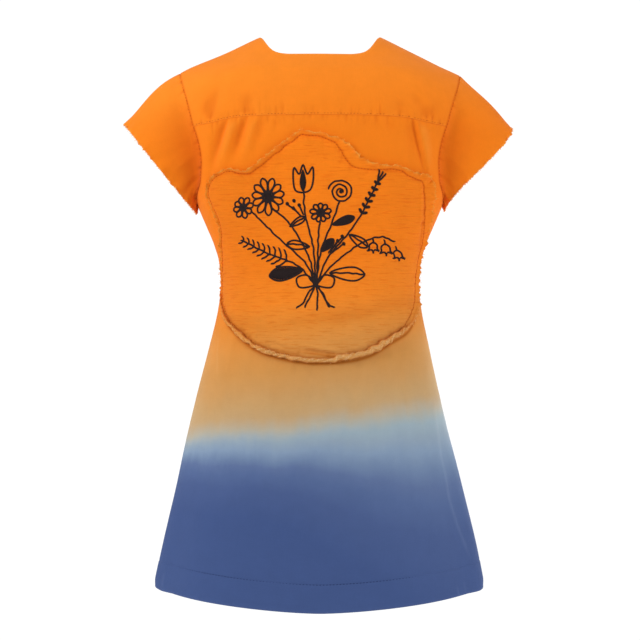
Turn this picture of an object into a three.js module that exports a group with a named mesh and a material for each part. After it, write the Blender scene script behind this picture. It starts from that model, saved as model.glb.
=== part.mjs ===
import * as THREE from 'three';

// Wrap dress with cap sleeves and a raw-edged patch sewn on its back, in the hollow shape it has when worn.
// Millimetres. +Z is up, the front faces -Y and the wearer's left is +X. The neck points are at z = 0.

// Cloth and seams
const CLOTH = 1.8;
const SEAM = 0.3;
const LAYER_GAP = 1.6;

// The left front dips under the right one over this width, and the dip starts this far from the free edge
const DIP = { starts: 84, width: 50 };

// Places that set the cut
const NECK_HALF = 85;
const UNDERARM_Z = -236;
const HEM_BACK_MID = -790;
const HEM_BACK_RISE = 17.5;
const HEM_FRONT_MID = -778;
const HEM_FRONT_RISE = 5.5;
const HEM_RISE_REACH = 205;
const HEM_RISE_POWER = 1.5;

// Rings round the body are rounded a little more squarely than an ellipse, whose power is 2
const RING_POWER = 2.2;
const BACK_ARCH = 50;
const FRONT_ARCH = 45;

const SECTIONS = table('z halfWidth back front', [
  [-800, 238.5, 153.0, 146.0],
  [-760, 229.5, 149.5, 140.5],
  [-690, 214.5, 140.0, 133.0],
  [-590, 191.0, 126.0, 121.0],
  [-490, 167.5, 111.5, 110.0],
  [-420, 151.0, 101.0, 104.0],
  [-385, 143.5, 97.0, 102.0],
  [-352, 139.5, 94.5, 103.0],
  [-320, 141.5, 95.0, 109.0],
  [-290, 150.0, 98.0, 118.0],
  [-256, 164.5, 103.0, 126.0],
  [-225, 177.0, 106.0, 127.0],
  [-180, 190.0, 107.0, 122.0],
  [-130, 202.0, 102.5, 108.0],
  [-90, 209.0, 94.0, 92.0],
  [-55, 213.5, 82.0, 76.0],
  [-28, 216.0, 62.0, 62.0],
  [0, 218.0, 52.0, 52.0],
  [60, 220.0, 46.0, 46.0],
]);

// Height of the shoulder line over the middle, as if it went on across the neck
const SHOULDER_LINE = table('x z', [
  [0, 33],
  [60, 10],
  [85, 0],
  [131, -22],
  [169, -39.5],
  [185, -46.5],
  [198, -53],
  [230, -72],
]);

const NECK_LINE = table('x z', [
  [0, -30.8],
  [41, -31],
  [52, -30],
  [61, -27.5],
  [69, -21.4],
  [75, -13],
  [81, -3.8],
  [85, 0],
]);

const YOKE_LINE = table('x z', [
  [0, -118],
  [80, -118.6],
  [116, -120.5],
  [133, -123.4],
  [151, -126.8],
  [175, -130],
]);

// Sideways place of the armhole seam, on the back and on the front
const ARMHOLE = table('z back front', [
  [-224, 170.8, 169.6],
  [-205, 165.0, 162.0],
  [-178, 163.4, 158.5],
  [-153, 167.0, 161.0],
  [-128, 175.0, 169.5],
  [-97, 183.5, 180.0],
  [-64, 193.5, 192.6],
  [-52, 196.5, 196.5],
  [-40, 199.5, 199.5],
]);

// Sideways place of the free edge of the right front, from the neck point across to the left hip
const WRAP_EDGE = table('z x', [
  [-790, 150],
  [-600, 131],
  [-450, 119],
  [-385, 113],
  [-355, 103],
  [-330, 82],
  [-290, 43],
  [-235, 0],
  [-180, -30],
  [-120, -54],
  [-60, -73],
  [0, -85],
]);

// Soft folds of the back under the yoke: each runs along a line and fades at its lower end
const BACK_FOLDS = table('x0 z0 x1 z1 width height', [
  [130, -123, 154, -196, 9, -3.2],
  [116, -121, 140, -190, 9, 2.8],
  [103, -120, 124, -188, 8, -2.6],
  [90, -119, 106, -176, 8, 1.8],
  [80, -119, 86, -152, 7, -1.4],
  [58, -118, 61, -140, 7, -1.0],
  [-60, -118, -62, -140, 7, -0.9],
  [-96, -119, -100, -150, 8, -1.3],
  [-124, -122, -137, -194, 8, -2.4],
  [-136, -123, -149, -202, 7, 2.8],
]);

// Soft folds of both fronts, drawn together by the fastening at the left waist
const FRONT_FOLDS = table('x0 z0 x1 z1 width height', [
  [62, -334, -92, -262, 20, 2.6],
  [60, -352, -96, -312, 17, -2.2],
  [58, -368, -84, -362, 18, 2.4],
  [72, -390, -52, -440, 19, -2.2],
  [96, -402, 20, -510, 20, 2.2],
  [-128, -212, -96, -268, 17, -2.2],
  [128, -212, 100, -262, 17, -2.2],
]);

// Lengthwise waves of the skirt, by their angle from the left side seam, back positive
const SKIRT_WAVES = table('angle width height top', [
  [12, 9, 3.4, -420],
  [29, 10, -2.6, -470],
  [52, 12, 2.0, -520],
  [88, 17, -1.6, -560],
  [121, 13, 2.2, -500],
  [147, 9, -2.8, -470],
  [163, 8, 3.6, -410],
  [-160, 10, 2.8, -430],
  [-138, 11, -3.0, -480],
  [-112, 12, 2.6, -500],
  [-84, 10, -2.2, -520],
  [-58, 9, 3.0, -480],
  [-34, 10, -2.6, -450],
  [-16, 9, 2.6, -430],
]);
const SKIRT_END = -780;

// Sleeve opening: its highest point, its lowest point and its depths to back and front
const CUFF_TIP = new THREE.Vector3(275.5, 0, -123);
const CUFF_LOW = { left: new THREE.Vector3(180, 0, -241), right: new THREE.Vector3(177.5, 0, -240) };
const CUFF_BACK = 47;
const CUFF_FRONT = 51;
const CUFF_BULGE = { left: 0.5, right: 5 };
const ARM_DIRECTION = new THREE.Vector3(0.78, 0, -0.626);
const SLEEVE_LEAVE = 0.85;
const SLEEVE_ARRIVE = 0.7;

// How far the top line of each sleeve arches out halfway along
const SLEEVE_CROWN = { left: 5.5, right: -2 };

// Folds of the sleeves where they turn in at the underarm, by their turn round the opening, back positive
const SLEEVE_FOLDS = table('turn width height', [
  [118, 13, -2.4],
  [146, 11, 3.0],
  [-124, 13, -2.4],
  [-150, 11, 2.6],
]);

// Patch on the back: its raw outline, and how it lies on the panel
const PATCH_CENTRE = { x: 0, z: -300 };
const PATCH_SIDE_LIMIT = 0.966;
const PATCH_TURN_LENGTH = 130;
const PATCH_LIE = 1.5;
const PATCH_RIM = { start: 0.9, lift: 2.4, extra: 1.4 };
const PATCH_OUTLINE = table('x z', [
  [150, -205],
  [137, -195],
  [123, -191],
  [104, -195],
  [91, -189],
  [64, -167],
  [38, -148],
  [27, -141],
  [13, -143],
  [-14, -148],
  [-38, -159],
  [-58, -179],
  [-84, -187],
  [-108, -188],
  [-128, -196],
  [-147, -199],
  [-156, -215],
  [-153, -252],
  [-146, -290],
  [-136, -330],
  [-136, -378],
  [-124, -411],
  [-96, -426],
  [-60, -446],
  [-10, -457],
  [40, -453],
  [84, -440],
  [112, -419],
  [130, -396],
  [136, -360],
  [135, -320],
  [138, -268],
  [150, -238],
  [155, -221],
]);

// Button that closes the wrap at the left waist
const BUTTON = { x: 90, z: -354, radius: 9, thick: 3, edge: 0.6, lie: 1.1, sides: 16 };
const BUTTON_HOLES = { count: 4, radius: 1.1, out: 2.6 };

// How finely each piece is divided
const NECK_SHARE = 0.5;
const YOKE = { columns: 24, rows: 7 };
const BACK = { columns: 36, upperRows: 7, lowerRows: 15 };
const FRONT = { columns: 21, upperRows: 14, lowerRows: 15 };
const SLEEVE_ROWS = 7;
const PATCH = { columns: 52, rings: [0.2, 0.38, 0.52, 0.64, 0.74, 0.83, 0.9, 0.95, 1] };

const ORANGE = new THREE.MeshStandardMaterial({ color: 0xf27f21, roughness: 0.85, metalness: 0 });
const PATCH_ORANGE = new THREE.MeshStandardMaterial({ color: 0xef8429, roughness: 0.9, metalness: 0 });
const HORN = new THREE.MeshStandardMaterial({ color: 0xb4651f, roughness: 0.4, metalness: 0 });

function table(columns, rows) {
  const names = columns.split(' ');
  return rows.map((row) => Object.fromEntries(names.map((name, i) => [name, row[i]])));
}

function clamp(value, low = 0, high = 1) {
  return Math.min(high, Math.max(low, value));
}

function smooth(value) {
  const t = clamp(value);
  return t * t * (3 - 2 * t);
}

// A smooth curve through a table's rows that never overshoots them
function profile(rows, along, column) {
  const sorted = [...rows].sort((a, b) => a[along] - b[along]);
  const x = sorted.map((row) => row[along]);
  const y = sorted.map((row) => row[column]);
  const slope = x.slice(1).map((end, i) => (y[i + 1] - y[i]) / (end - x[i]));
  const tangent = x.map((_, i) => {
    if (i === 0 || i === x.length - 1) return slope[Math.min(i, slope.length - 1)];
    if (slope[i - 1] * slope[i] <= 0) return 0;
    const before = x[i] - x[i - 1];
    const after = x[i + 1] - x[i];
    const weights = [2 * after + before, after + 2 * before];
    return (weights[0] + weights[1]) / (weights[0] / slope[i - 1] + weights[1] / slope[i]);
  });
  return (value) => {
    const v = clamp(value, x[0], x[x.length - 1]);
    const found = x.findIndex((end, i) => i > 0 && v <= end);
    const i = Math.max(0, found - 1);
    const span = x[i + 1] - x[i];
    const t = (v - x[i]) / span;
    const start = (1 + 2 * t) * (1 - t) ** 2 * y[i] + t * (1 - t) ** 2 * span * tangent[i];
    const end = t * t * (3 - 2 * t) * y[i + 1] + t * t * (t - 1) * span * tangent[i + 1];
    return start + end;
  };
}

const halfWidth = profile(SECTIONS, 'z', 'halfWidth');
const backDepth = profile(SECTIONS, 'z', 'back');
const frontDepth = profile(SECTIONS, 'z', 'front');
const shoulderLine = profile(SHOULDER_LINE, 'x', 'z');
const neckLine = profile(NECK_LINE, 'x', 'z');
const yokeLine = profile(YOKE_LINE, 'x', 'z');
const wrapEdge = profile(WRAP_EDGE, 'z', 'x');

// The armhole seam ends on the side seam, at the underarm
const underarm = { z: UNDERARM_Z, back: halfWidth(UNDERARM_Z), front: halfWidth(UNDERARM_Z) };
const armholeBack = profile([underarm, ...ARMHOLE], 'z', 'back');
const armholeFront = profile([underarm, ...ARMHOLE], 'z', 'front');

function shoulderAt(x) {
  return shoulderLine(Math.abs(x));
}

function yokeTop(x) {
  const reach = Math.abs(x);
  return reach < NECK_HALF ? neckLine(reach) : shoulderLine(reach);
}

function hemRise(x) {
  return clamp(Math.abs(x) / HEM_RISE_REACH) ** HEM_RISE_POWER;
}

function hemBack(x) {
  return HEM_BACK_MID + HEM_BACK_RISE * hemRise(x);
}

function hemFront(x) {
  return HEM_FRONT_MID + HEM_FRONT_RISE * hemRise(x);
}

// The form at a place seen from the back: side is 1 for the back half and -1 for the front half
function formAt(x, z, side) {
  const reach = clamp(Math.abs(x) / halfWidth(z));
  const depth = side > 0 ? backDepth(z) : frontDepth(z);
  const round = (1 - reach ** RING_POWER) ** (1 / RING_POWER);
  const radius = side > 0 ? BACK_ARCH : FRONT_ARCH;
  const drop = clamp((shoulderAt(x) - z) / radius);
  const arch = Math.sqrt(1 - (1 - drop) ** 2);
  return new THREE.Vector3(x, side * (depth * round * arch + SEAM / 2), z);
}

// Angle round a ring, from 0 at the left side seam to pi at the right one
function angleAt(x, z) {
  const reach = clamp(Math.abs(x) / halfWidth(z));
  return Math.acos(Math.sign(x) * reach ** (RING_POWER / 2));
}

function acrossAt(angle, z) {
  const cosine = Math.cos(angle);
  return halfWidth(z) * Math.sign(cosine) * Math.abs(cosine) ** (2 / RING_POWER);
}

// Finds a place whose height and sideways place depend on each other
function settle(x, heightAt, sidewaysAt) {
  let place = { x, z: heightAt(x) };
  for (let turn = 0; turn < 8; turn += 1) {
    const next = sidewaysAt(place.z);
    place = { x: next, z: heightAt(next) };
  }
  return place;
}

function between(low, high, t) {
  return low + (high - low) * t;
}

function ofHand(sizes, hand) {
  return hand > 0 ? sizes.left : sizes.right;
}

// Yoke: u from the left armhole to the right one, v from the shoulder and neck down to the yoke seam
function placeYoke(u, v) {
  const w = 1 - 2 * u;
  const share = 1 - Math.cos(Math.PI / 2 * v);
  const height = (x) => between(yokeTop(x), yokeLine(Math.abs(x)) + SEAM / 2, share);
  if (Math.abs(w) <= NECK_SHARE) {
    const x = NECK_HALF * Math.sin(Math.PI / 2 * w / NECK_SHARE);
    return formAt(x, height(x), 1);
  }
  const out = (Math.abs(w) - NECK_SHARE) / (1 - NECK_SHARE);
  const sideways = (z) => Math.sign(w) * between(NECK_HALF, armholeBack(z), out);
  const place = settle(Math.sign(w) * NECK_HALF, height, sideways);
  return formAt(place.x, place.z, 1);
}

const BACK_SPLIT = BACK.upperRows / (BACK.upperRows + BACK.lowerRows);

// Back: u from the left side to the right one, v from the yoke seam down to the hem
function placeBack(u, v) {
  const upper = Math.sin(Math.PI / 2 * clamp(v / BACK_SPLIT));
  const lower = clamp((v - BACK_SPLIT) / (1 - BACK_SPLIT));
  const height = (x) => {
    const top = between(yokeLine(Math.abs(x)) - SEAM / 2, UNDERARM_Z, upper);
    return between(top, hemBack(x), lower);
  };
  const sideways = (z) => {
    const edge = lower > 0 ? 0 : angleAt(armholeBack(z), z);
    return acrossAt(between(edge, Math.PI - edge, u), z);
  };
  const place = settle(between(1, -1, u) * NECK_HALF, height, sideways);
  return formAt(place.x, place.z, 1);
}

const FRONT_SPLIT = FRONT.upperRows / (FRONT.upperRows + FRONT.lowerRows);

// Front: u from the side or armhole to the free edge, v from the shoulder down to the hem
function placeFront(hand, u, v) {
  const upper = (1 - Math.cos(Math.PI * clamp(v / FRONT_SPLIT))) / 2;
  const lower = clamp((v - FRONT_SPLIT) / (1 - FRONT_SPLIT));
  const height = (x) => between(between(shoulderAt(x), UNDERARM_Z, upper), hemFront(x), lower);
  const sideways = (z) => {
    const edge = lower > 0 ? 0 : angleAt(armholeFront(z), z);
    return acrossAt(between(edge, angleAt(-wrapEdge(z), z), u), z);
  };
  const place = settle(NECK_HALF, height, sideways);
  return formAt(hand * place.x, place.z, -1);
}

function foldHeight(point, fold) {
  const along = new THREE.Vector2(fold.x1 - fold.x0, fold.z1 - fold.z0);
  const from = new THREE.Vector2(point.x - fold.x0, point.z - fold.z0);
  const t = clamp(from.dot(along) / along.lengthSq());
  const away = from.sub(along.multiplyScalar(t)).length() / fold.width;
  return fold.height * Math.exp(-away * away) * (1 - smooth((t - 0.35) / 0.65));
}

// Folds start just under the yoke seam and stay clear of the armhole seam
function backLift(point) {
  const seam = smooth((yokeLine(Math.abs(point.x)) - point.z) / 14);
  const side = smooth((armholeBack(point.z) - Math.abs(point.x)) / 16);
  const open = point.z > UNDERARM_Z ? side : 1;
  return BACK_FOLDS.reduce((sum, fold) => sum + foldHeight(point, fold), 0) * seam * open;
}

function frontLift(point) {
  const side = smooth((armholeFront(point.z) - Math.abs(point.x)) / 20);
  const open = point.z > UNDERARM_Z ? side : 1;
  return FRONT_FOLDS.reduce((sum, fold) => sum + foldHeight(point, fold), 0) * open;
}

function skirtLift(point) {
  const angle = THREE.MathUtils.radToDeg(angleAt(point.x, point.z)) * Math.sign(point.y);
  return SKIRT_WAVES.reduce((sum, wave) => {
    const turned = Math.abs(angle - wave.angle);
    const away = Math.min(turned, 360 - turned) / wave.width;
    const grown = smooth((wave.top - point.z) / (wave.top - SKIRT_END));
    return sum + wave.height * Math.exp(-away * away) * grown;
  }, 0);
}

// The left front dips under the right front before it passes below its edge
function underLift(point) {
  const beyond = point.x - wrapEdge(point.z);
  return -(CLOTH + LAYER_GAP) * smooth((DIP.starts - beyond) / DIP.width);
}

// Outer point, outward direction and lifted outer point of a piece at (u, v)
function clothAt(place, lift, u, v) {
  const step = 1e-4;
  const base = place(u, v);
  const alongU = place(clamp(u + step), v).sub(place(clamp(u - step), v));
  const alongV = place(u, clamp(v + step)).sub(place(u, clamp(v - step)));
  const normal = alongU.cross(alongV).normalize();
  if (normal.dot(new THREE.Vector3(base.x, base.y, 60)) < 0) normal.negate();
  return { point: base.addScaledVector(normal, lift(base)), normal };
}

function geometryFrom(points, triangles) {
  const volume = triangles.reduce((sum, [a, b, c]) => {
    return sum + new THREE.Vector3().crossVectors(points[a], points[b]).dot(points[c]);
  }, 0);
  const facing = volume > 0 ? triangles : triangles.map(([a, b, c]) => [a, c, b]);
  const geometry = new THREE.BufferGeometry();
  const numbers = points.flatMap((point) => point.toArray());
  geometry.setAttribute('position', new THREE.Float32BufferAttribute(numbers, 3));
  geometry.setIndex(facing.flat());
  geometry.computeVertexNormals();
  return geometry;
}

// A closed wall between an outer and an inner grid of points: rows of columns, open or closed round
function wallBetween(outer, inner, closedRound) {
  const rows = outer.length;
  const columns = outer[0].length;
  const points = [...outer.flat(), ...inner.flat()];
  const inside = rows * columns;
  const at = (row, column) => row * columns + (column % columns);
  const triangles = [];
  const quad = (a, b, c, d) => triangles.push([a, b, c], [a, c, d]);
  const spans = closedRound ? columns : columns - 1;
  for (let row = 0; row < rows - 1; row += 1) {
    for (let column = 0; column < spans; column += 1) {
      const corners = [at(row, column), at(row, column + 1), at(row + 1, column + 1), at(row + 1, column)];
      quad(...corners);
      quad(...corners.map((i) => i + inside).reverse());
    }
  }
  const rim = (a, b) => quad(b, a, a + inside, b + inside);
  for (let column = 0; column < spans; column += 1) {
    rim(at(0, column), at(0, column + 1));
    rim(at(rows - 1, column + 1), at(rows - 1, column));
  }
  for (let row = 0; row < rows - 1 && !closedRound; row += 1) {
    rim(at(row + 1, 0), at(row, 0));
    rim(at(row, columns - 1), at(row + 1, columns - 1));
  }
  return geometryFrom(points, triangles);
}

function panel(place, lift, columns, rows) {
  const grid = Array.from({ length: rows + 1 }, (_, row) =>
    Array.from({ length: columns + 1 }, (_, column) => clothAt(place, lift, column / columns, row / rows)));
  const outer = grid.map((line) => line.map(({ point }) => point));
  const inner = grid.map((line) =>
    line.map(({ point, normal }) => point.clone().addScaledVector(normal, -CLOTH)));
  return wallBetween(outer, inner, false);
}

const noLift = () => 0;
const bodyLift = (point) => backLift(point) + skirtLift(point);
const rightLift = (point) => frontLift(point) + skirtLift(point);
const leftLift = (point) => rightLift(point) + underLift(point);
const placeLeftFront = (u, v) => placeFront(1, u, v);
const placeRightFront = (u, v) => placeFront(-1, u, v);

function middle(a, b) {
  return {
    point: a.point.clone().lerp(b.point, 0.5),
    normal: a.normal.clone().add(b.normal).normalize(),
  };
}

// The armhole seam as one loop: shoulder, down the back to the underarm, and up the front
function armholeLoop(hand) {
  const u = hand > 0 ? 0 : 1;
  const placeSide = (across, v) => placeFront(hand, across, v);
  const yoke = Array.from({ length: YOKE.rows + 1 }, (_, k) => clothAt(placeYoke, noLift, u, k / YOKE.rows));
  const back = Array.from({ length: BACK.upperRows + 1 }, (_, k) =>
    clothAt(placeBack, bodyLift, u, BACK_SPLIT * k / BACK.upperRows));
  const front = Array.from({ length: FRONT.upperRows + 1 }, (_, k) =>
    clothAt(placeSide, noLift, 0, FRONT_SPLIT * k / FRONT.upperRows));
  const top = middle(yoke[0], front[0]);
  const bottom = middle(back[BACK.upperRows], front[FRONT.upperRows]);
  const down = [top, ...yoke.slice(1), ...back.slice(1, -1), bottom];
  return { down, up: front.slice(1, -1).reverse() };
}

function lengthsAlong(places) {
  let total = 0;
  const sums = places.map(({ point }, i) => {
    total += i === 0 ? 0 : point.distanceTo(places[i - 1].point);
    return total;
  });
  return sums.map((sum) => sum / total);
}

// The sleeve's opening: a slanted loop, turn 0 at its tip and pi at the underarm
function cuffAt(hand, turn, side) {
  const low = ofHand(CUFF_LOW, hand);
  const centre = CUFF_TIP.clone().add(low).multiplyScalar(0.5);
  const half = CUFF_TIP.clone().sub(low).multiplyScalar(0.5);
  const depth = side > 0 ? CUFF_BACK : CUFF_FRONT;
  const bulge = ofHand(CUFF_BULGE, hand) * Math.sin(turn);
  const point = centre.addScaledVector(half, Math.cos(turn)).addScaledVector(ARM_DIRECTION, bulge);
  point.y = side * depth * Math.sin(turn);
  point.x *= hand;
  return point;
}

function sleeveLift(turn) {
  return SLEEVE_FOLDS.reduce((sum, fold) => {
    const away = (turn - fold.turn) / fold.width;
    return sum + fold.height * Math.exp(-away * away);
  }, 0);
}

function sleeve(hand) {
  const { down, up } = armholeLoop(hand);
  const loop = [...down, ...up];
  const count = loop.length;
  const shareDown = lengthsAlong(down);
  const shareUp = lengthsAlong([down[down.length - 1], ...up, down[0]]).slice(1, -1);
  const turns = [...shareDown, ...shareUp.map((share) => 1 - share)].map((share) => Math.PI * share);
  const arm = new THREE.Vector3(hand * ARM_DIRECTION.x, 0, ARM_DIRECTION.z);
  const starts = loop.map(({ point, normal }, k) => {
    const along = loop[(k + 1) % count].point.clone().sub(loop[(k + count - 1) % count].point);
    const away = new THREE.Vector3().crossVectors(along, normal).normalize();
    return { point, normal, away };
  });
  if (starts[0].away.x * hand < 0) starts.forEach(({ away }) => away.negate());
  const outer = Array.from({ length: SLEEVE_ROWS + 1 }, (_, row) => starts.map(({ point, away }, k) => {
    const t = row / SLEEVE_ROWS;
    const start = point.clone().addScaledVector(away, SEAM);
    const end = cuffAt(hand, turns[k], k < down.length ? 1 : -1);
    const reach = start.distanceTo(end);
    return start.multiplyScalar((1 + 2 * t) * (1 - t) ** 2)
      .addScaledVector(end, t * t * (3 - 2 * t))
      .addScaledVector(away, t * (1 - t) ** 2 * reach * SLEEVE_LEAVE)
      .addScaledVector(arm, t * t * (t - 1) * reach * SLEEVE_ARRIVE);
  }));
  const normals = outer.map((line, row) => line.map((_, k) => {
    if (row === 0) return starts[k].normal;
    const around = line[(k + 1) % count].clone().sub(line[(k + count - 1) % count]);
    const next = outer[Math.min(row + 1, SLEEVE_ROWS)][k];
    const along = next.clone().sub(outer[row - 1][k]);
    return around.cross(along).normalize().multiplyScalar(hand);
  }));
  const facing = Math.sign(normals[1][0].dot(starts[0].normal));
  const offset = (depth) => outer.map((line, row) => line.map((point, k) => {
    const out = row === 0 ? 1 : facing;
    const turn = THREE.MathUtils.radToDeg(turns[k]) * (k < down.length ? 1 : -1);
    const way = row / SLEEVE_ROWS;
    const crown = ofHand(SLEEVE_CROWN, hand) * Math.max(0, Math.cos(turns[k])) * Math.sin(Math.PI * way);
    const lift = sleeveLift(turn) * Math.sin(Math.PI / 2 * way) + crown;
    return point.clone().addScaledVector(normals[row][k], out * (lift - depth));
  }));
  return wallBetween(offset(0), offset(CLOTH), true);
}

// Patch: rings from its middle to its raw outline, each point on the back's own points, moved out
function patch() {
  const edge = PATCH_OUTLINE.map(({ x, z }) => {
    const limit = PATCH_SIDE_LIMIT * halfWidth(z);
    return new THREE.Vector3(angleAt(clamp(x, -limit, limit), z) * PATCH_TURN_LENGTH, 0, z);
  });
  const outline = new THREE.CatmullRomCurve3(edge, true);
  const around = outline.getSpacedPoints(PATCH.columns).slice(0, PATCH.columns);
  const centreAngle = angleAt(PATCH_CENTRE.x, PATCH_CENTRE.z);
  const placeAt = (angle, z) => formAt(acrossAt(angle, z), z, 1);
  const pointAt = (rim, ring) => {
    const angle = between(centreAngle, rim.x / PATCH_TURN_LENGTH, ring);
    const z = between(PATCH_CENTRE.z, rim.z, ring);
    const step = 1e-3;
    const base = placeAt(angle, z);
    const alongAngle = placeAt(angle + step, z).sub(placeAt(angle - step, z));
    const alongHeight = placeAt(angle, z + step).sub(placeAt(angle, z - step));
    const normal = alongAngle.cross(alongHeight).normalize();
    if (normal.y < 0) normal.negate();
    return { base, normal, lift: bodyLift(base) };
  };
  const curl = (ring) => smooth((ring - PATCH_RIM.start) / (1 - PATCH_RIM.start));
  const lines = PATCH.rings.map((ring) => around.map((rim) => {
    const { base, normal, lift } = pointAt(rim, ring);
    const low = lift + PATCH_LIE + PATCH_RIM.lift * curl(ring);
    const high = low + CLOTH + PATCH_RIM.extra * curl(ring);
    return {
      high: base.clone().addScaledVector(normal, high),
      low: base.clone().addScaledVector(normal, low),
    };
  }));
  const heart = pointAt(around[0], 0);
  const columns = PATCH.columns;
  const rings = lines.length;
  const points = [
    ...lines.flat().map(({ high }) => high),
    ...lines.flat().map(({ low }) => low),
    heart.base.clone().addScaledVector(heart.normal, heart.lift + PATCH_LIE + CLOTH),
    heart.base.clone().addScaledVector(heart.normal, heart.lift + PATCH_LIE),
  ];
  const inside = rings * columns;
  const top = 2 * inside;
  const triangles = [];
  const quad = (a, b, c, d) => triangles.push([a, b, c], [a, c, d]);
  for (let k = 0; k < columns; k += 1) {
    const next = (k + 1) % columns;
    triangles.push([top, k, next], [top + 1, inside + next, inside + k]);
    for (let ring = 0; ring < rings - 1; ring += 1) {
      const corners = [k, k + columns, next + columns, next].map((i) => i + ring * columns);
      quad(...corners);
      quad(...corners.map((i) => i + inside).reverse());
    }
    const last = (rings - 1) * columns;
    quad(last + k, last + k + inside, last + next + inside, last + next);
  }
  return geometryFrom(points, triangles);
}

function button() {
  const shape = new THREE.Shape().absarc(0, 0, BUTTON.radius - BUTTON.edge, 0, Math.PI * 2, false);
  for (let k = 0; k < BUTTON_HOLES.count; k += 1) {
    const turn = 2 * Math.PI * (k + 0.5) / BUTTON_HOLES.count;
    const hole = new THREE.Path();
    const place = [BUTTON_HOLES.out * Math.cos(turn), BUTTON_HOLES.out * Math.sin(turn)];
    hole.absarc(...place, BUTTON_HOLES.radius + BUTTON.edge, 0, Math.PI * 2, true);
    shape.holes.push(hole);
  }
  const depth = BUTTON.thick - 2 * BUTTON.edge;
  const bevel = { bevelEnabled: true, bevelThickness: BUTTON.edge, bevelSize: BUTTON.edge, bevelSegments: 1 };
  return new THREE.ExtrudeGeometry(shape, { depth, curveSegments: BUTTON.sides / 2, ...bevel });
}

const dress = new THREE.Group();

function addPiece(name, geometry, material) {
  const mesh = new THREE.Mesh(geometry, material);
  mesh.name = name;
  dress.add(mesh);
  return mesh;
}

const backRows = BACK.upperRows + BACK.lowerRows;
const frontRows = FRONT.upperRows + FRONT.lowerRows;
addPiece('back_yoke', panel(placeYoke, noLift, YOKE.columns, YOKE.rows), ORANGE);
addPiece('back_body', panel(placeBack, bodyLift, BACK.columns, backRows), ORANGE);
addPiece('front_left', panel(placeLeftFront, leftLift, FRONT.columns, frontRows), ORANGE);
addPiece('front_right', panel(placeRightFront, rightLift, FRONT.columns, frontRows), ORANGE);
addPiece('sleeve_left', sleeve(1), ORANGE);
addPiece('sleeve_right', sleeve(-1), ORANGE);
addPiece('back_patch', patch(), PATCH_ORANGE);

// The button's back faces the right front
const seat = formAt(BUTTON.x, BUTTON.z, -1);
const seatOut = new THREE.Vector3(seat.x / halfWidth(seat.z) ** 2, seat.y / frontDepth(seat.z) ** 2, 0);
seatOut.normalize();
const fastened = addPiece('button', button(), HORN);
fastened.quaternion.setFromUnitVectors(new THREE.Vector3(0, 0, 1), seatOut);
fastened.position.copy(seat).addScaledVector(seatOut, BUTTON.lie + BUTTON.edge);

export default dress;
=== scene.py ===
"""Wrap dress with cap sleeves and a raw-edged patch on its back, in the shape it has when worn."""
import math

import bpy
import numpy as np
from mathutils import Matrix, Vector


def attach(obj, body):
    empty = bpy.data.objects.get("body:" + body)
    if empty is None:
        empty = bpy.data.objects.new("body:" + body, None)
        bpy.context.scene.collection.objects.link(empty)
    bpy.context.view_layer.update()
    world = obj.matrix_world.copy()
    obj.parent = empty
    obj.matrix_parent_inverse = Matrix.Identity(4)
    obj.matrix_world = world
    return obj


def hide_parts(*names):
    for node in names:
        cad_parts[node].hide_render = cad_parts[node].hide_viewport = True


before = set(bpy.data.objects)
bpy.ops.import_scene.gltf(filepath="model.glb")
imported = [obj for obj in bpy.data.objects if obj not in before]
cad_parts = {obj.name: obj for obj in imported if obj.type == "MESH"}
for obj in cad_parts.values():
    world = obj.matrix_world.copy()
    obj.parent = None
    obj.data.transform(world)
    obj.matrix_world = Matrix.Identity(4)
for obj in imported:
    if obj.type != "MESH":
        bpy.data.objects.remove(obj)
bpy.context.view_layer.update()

bl_info = {
    "name": "Wrap dress",
    "version": (1, 0, 0),
    "blender": (4, 5, 0),
    "location": "3D View > Sidebar > Wrap dress",
    "description": "Makes a worn wrap dress with cap sleeves and a raw-edged patch",
    "category": "Object",
}

# Sizes in the tables and shape functions are millimetres. Meshes are made in metres.
MM = 0.001


def table(columns, rows):
    """Named columns of a table of numbers."""
    return dict(zip(columns.split(), np.array(rows, float).T))


# The body inside the dress: how square its rings are, how the shoulders arch, and the half width and
# depths of the rings
RING_POWER = 2.2
BACK_ARCH = 50
FRONT_ARCH = 45
SECTIONS = table("z half_width back front", [
    (-800, 238.5, 153, 146), (-760, 229.5, 149.5, 140.5), (-690, 214.5, 140, 133),
    (-590, 191, 126, 121), (-490, 167.5, 111.5, 110), (-420, 151, 101, 104), (-385, 143.5, 97, 102),
    (-352, 139.5, 94.5, 103), (-320, 141.5, 95, 109), (-290, 150, 98, 118), (-256, 164.5, 103, 126),
    (-225, 177, 106, 127), (-180, 190, 107, 122), (-130, 202, 102.5, 108), (-90, 209, 94, 92),
    (-55, 213.5, 82, 76), (-28, 216, 62, 62), (0, 218, 52, 52), (60, 220, 46, 46),
])
SHOULDER_LINE = table("x z", [
    (0, 33), (60, 10), (85, 0), (131, -22), (169, -39.5), (185, -46.5), (198, -53), (230, -72),
])
NECK_LINE = table("x z", [
    (0, -30.8), (41, -31), (52, -30), (61, -27.5), (69, -21.4), (75, -13), (81, -3.8), (85, 0),
])
YOKE_LINE = table("x z", [
    (0, -118), (80, -118.6), (116, -120.5), (133, -123.4), (151, -126.8), (175, -130),
])
# Armhole: its lowest place under the arm, and how far out its edges lie by height
UNDERARM_Z = -236
UNDERARM_X = 172.882
ARMHOLE = table("z back front", [
    (UNDERARM_Z, UNDERARM_X, UNDERARM_X), (-224, 170.8, 169.6), (-205, 165, 162), (-178, 163.4, 158.5),
    (-153, 167, 161), (-128, 175, 169.5), (-97, 183.5, 180), (-64, 193.5, 192.6), (-52, 196.5, 196.5),
    (-40, 199.5, 199.5),
])
SHOULDER_END_Z = -52.18
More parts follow.
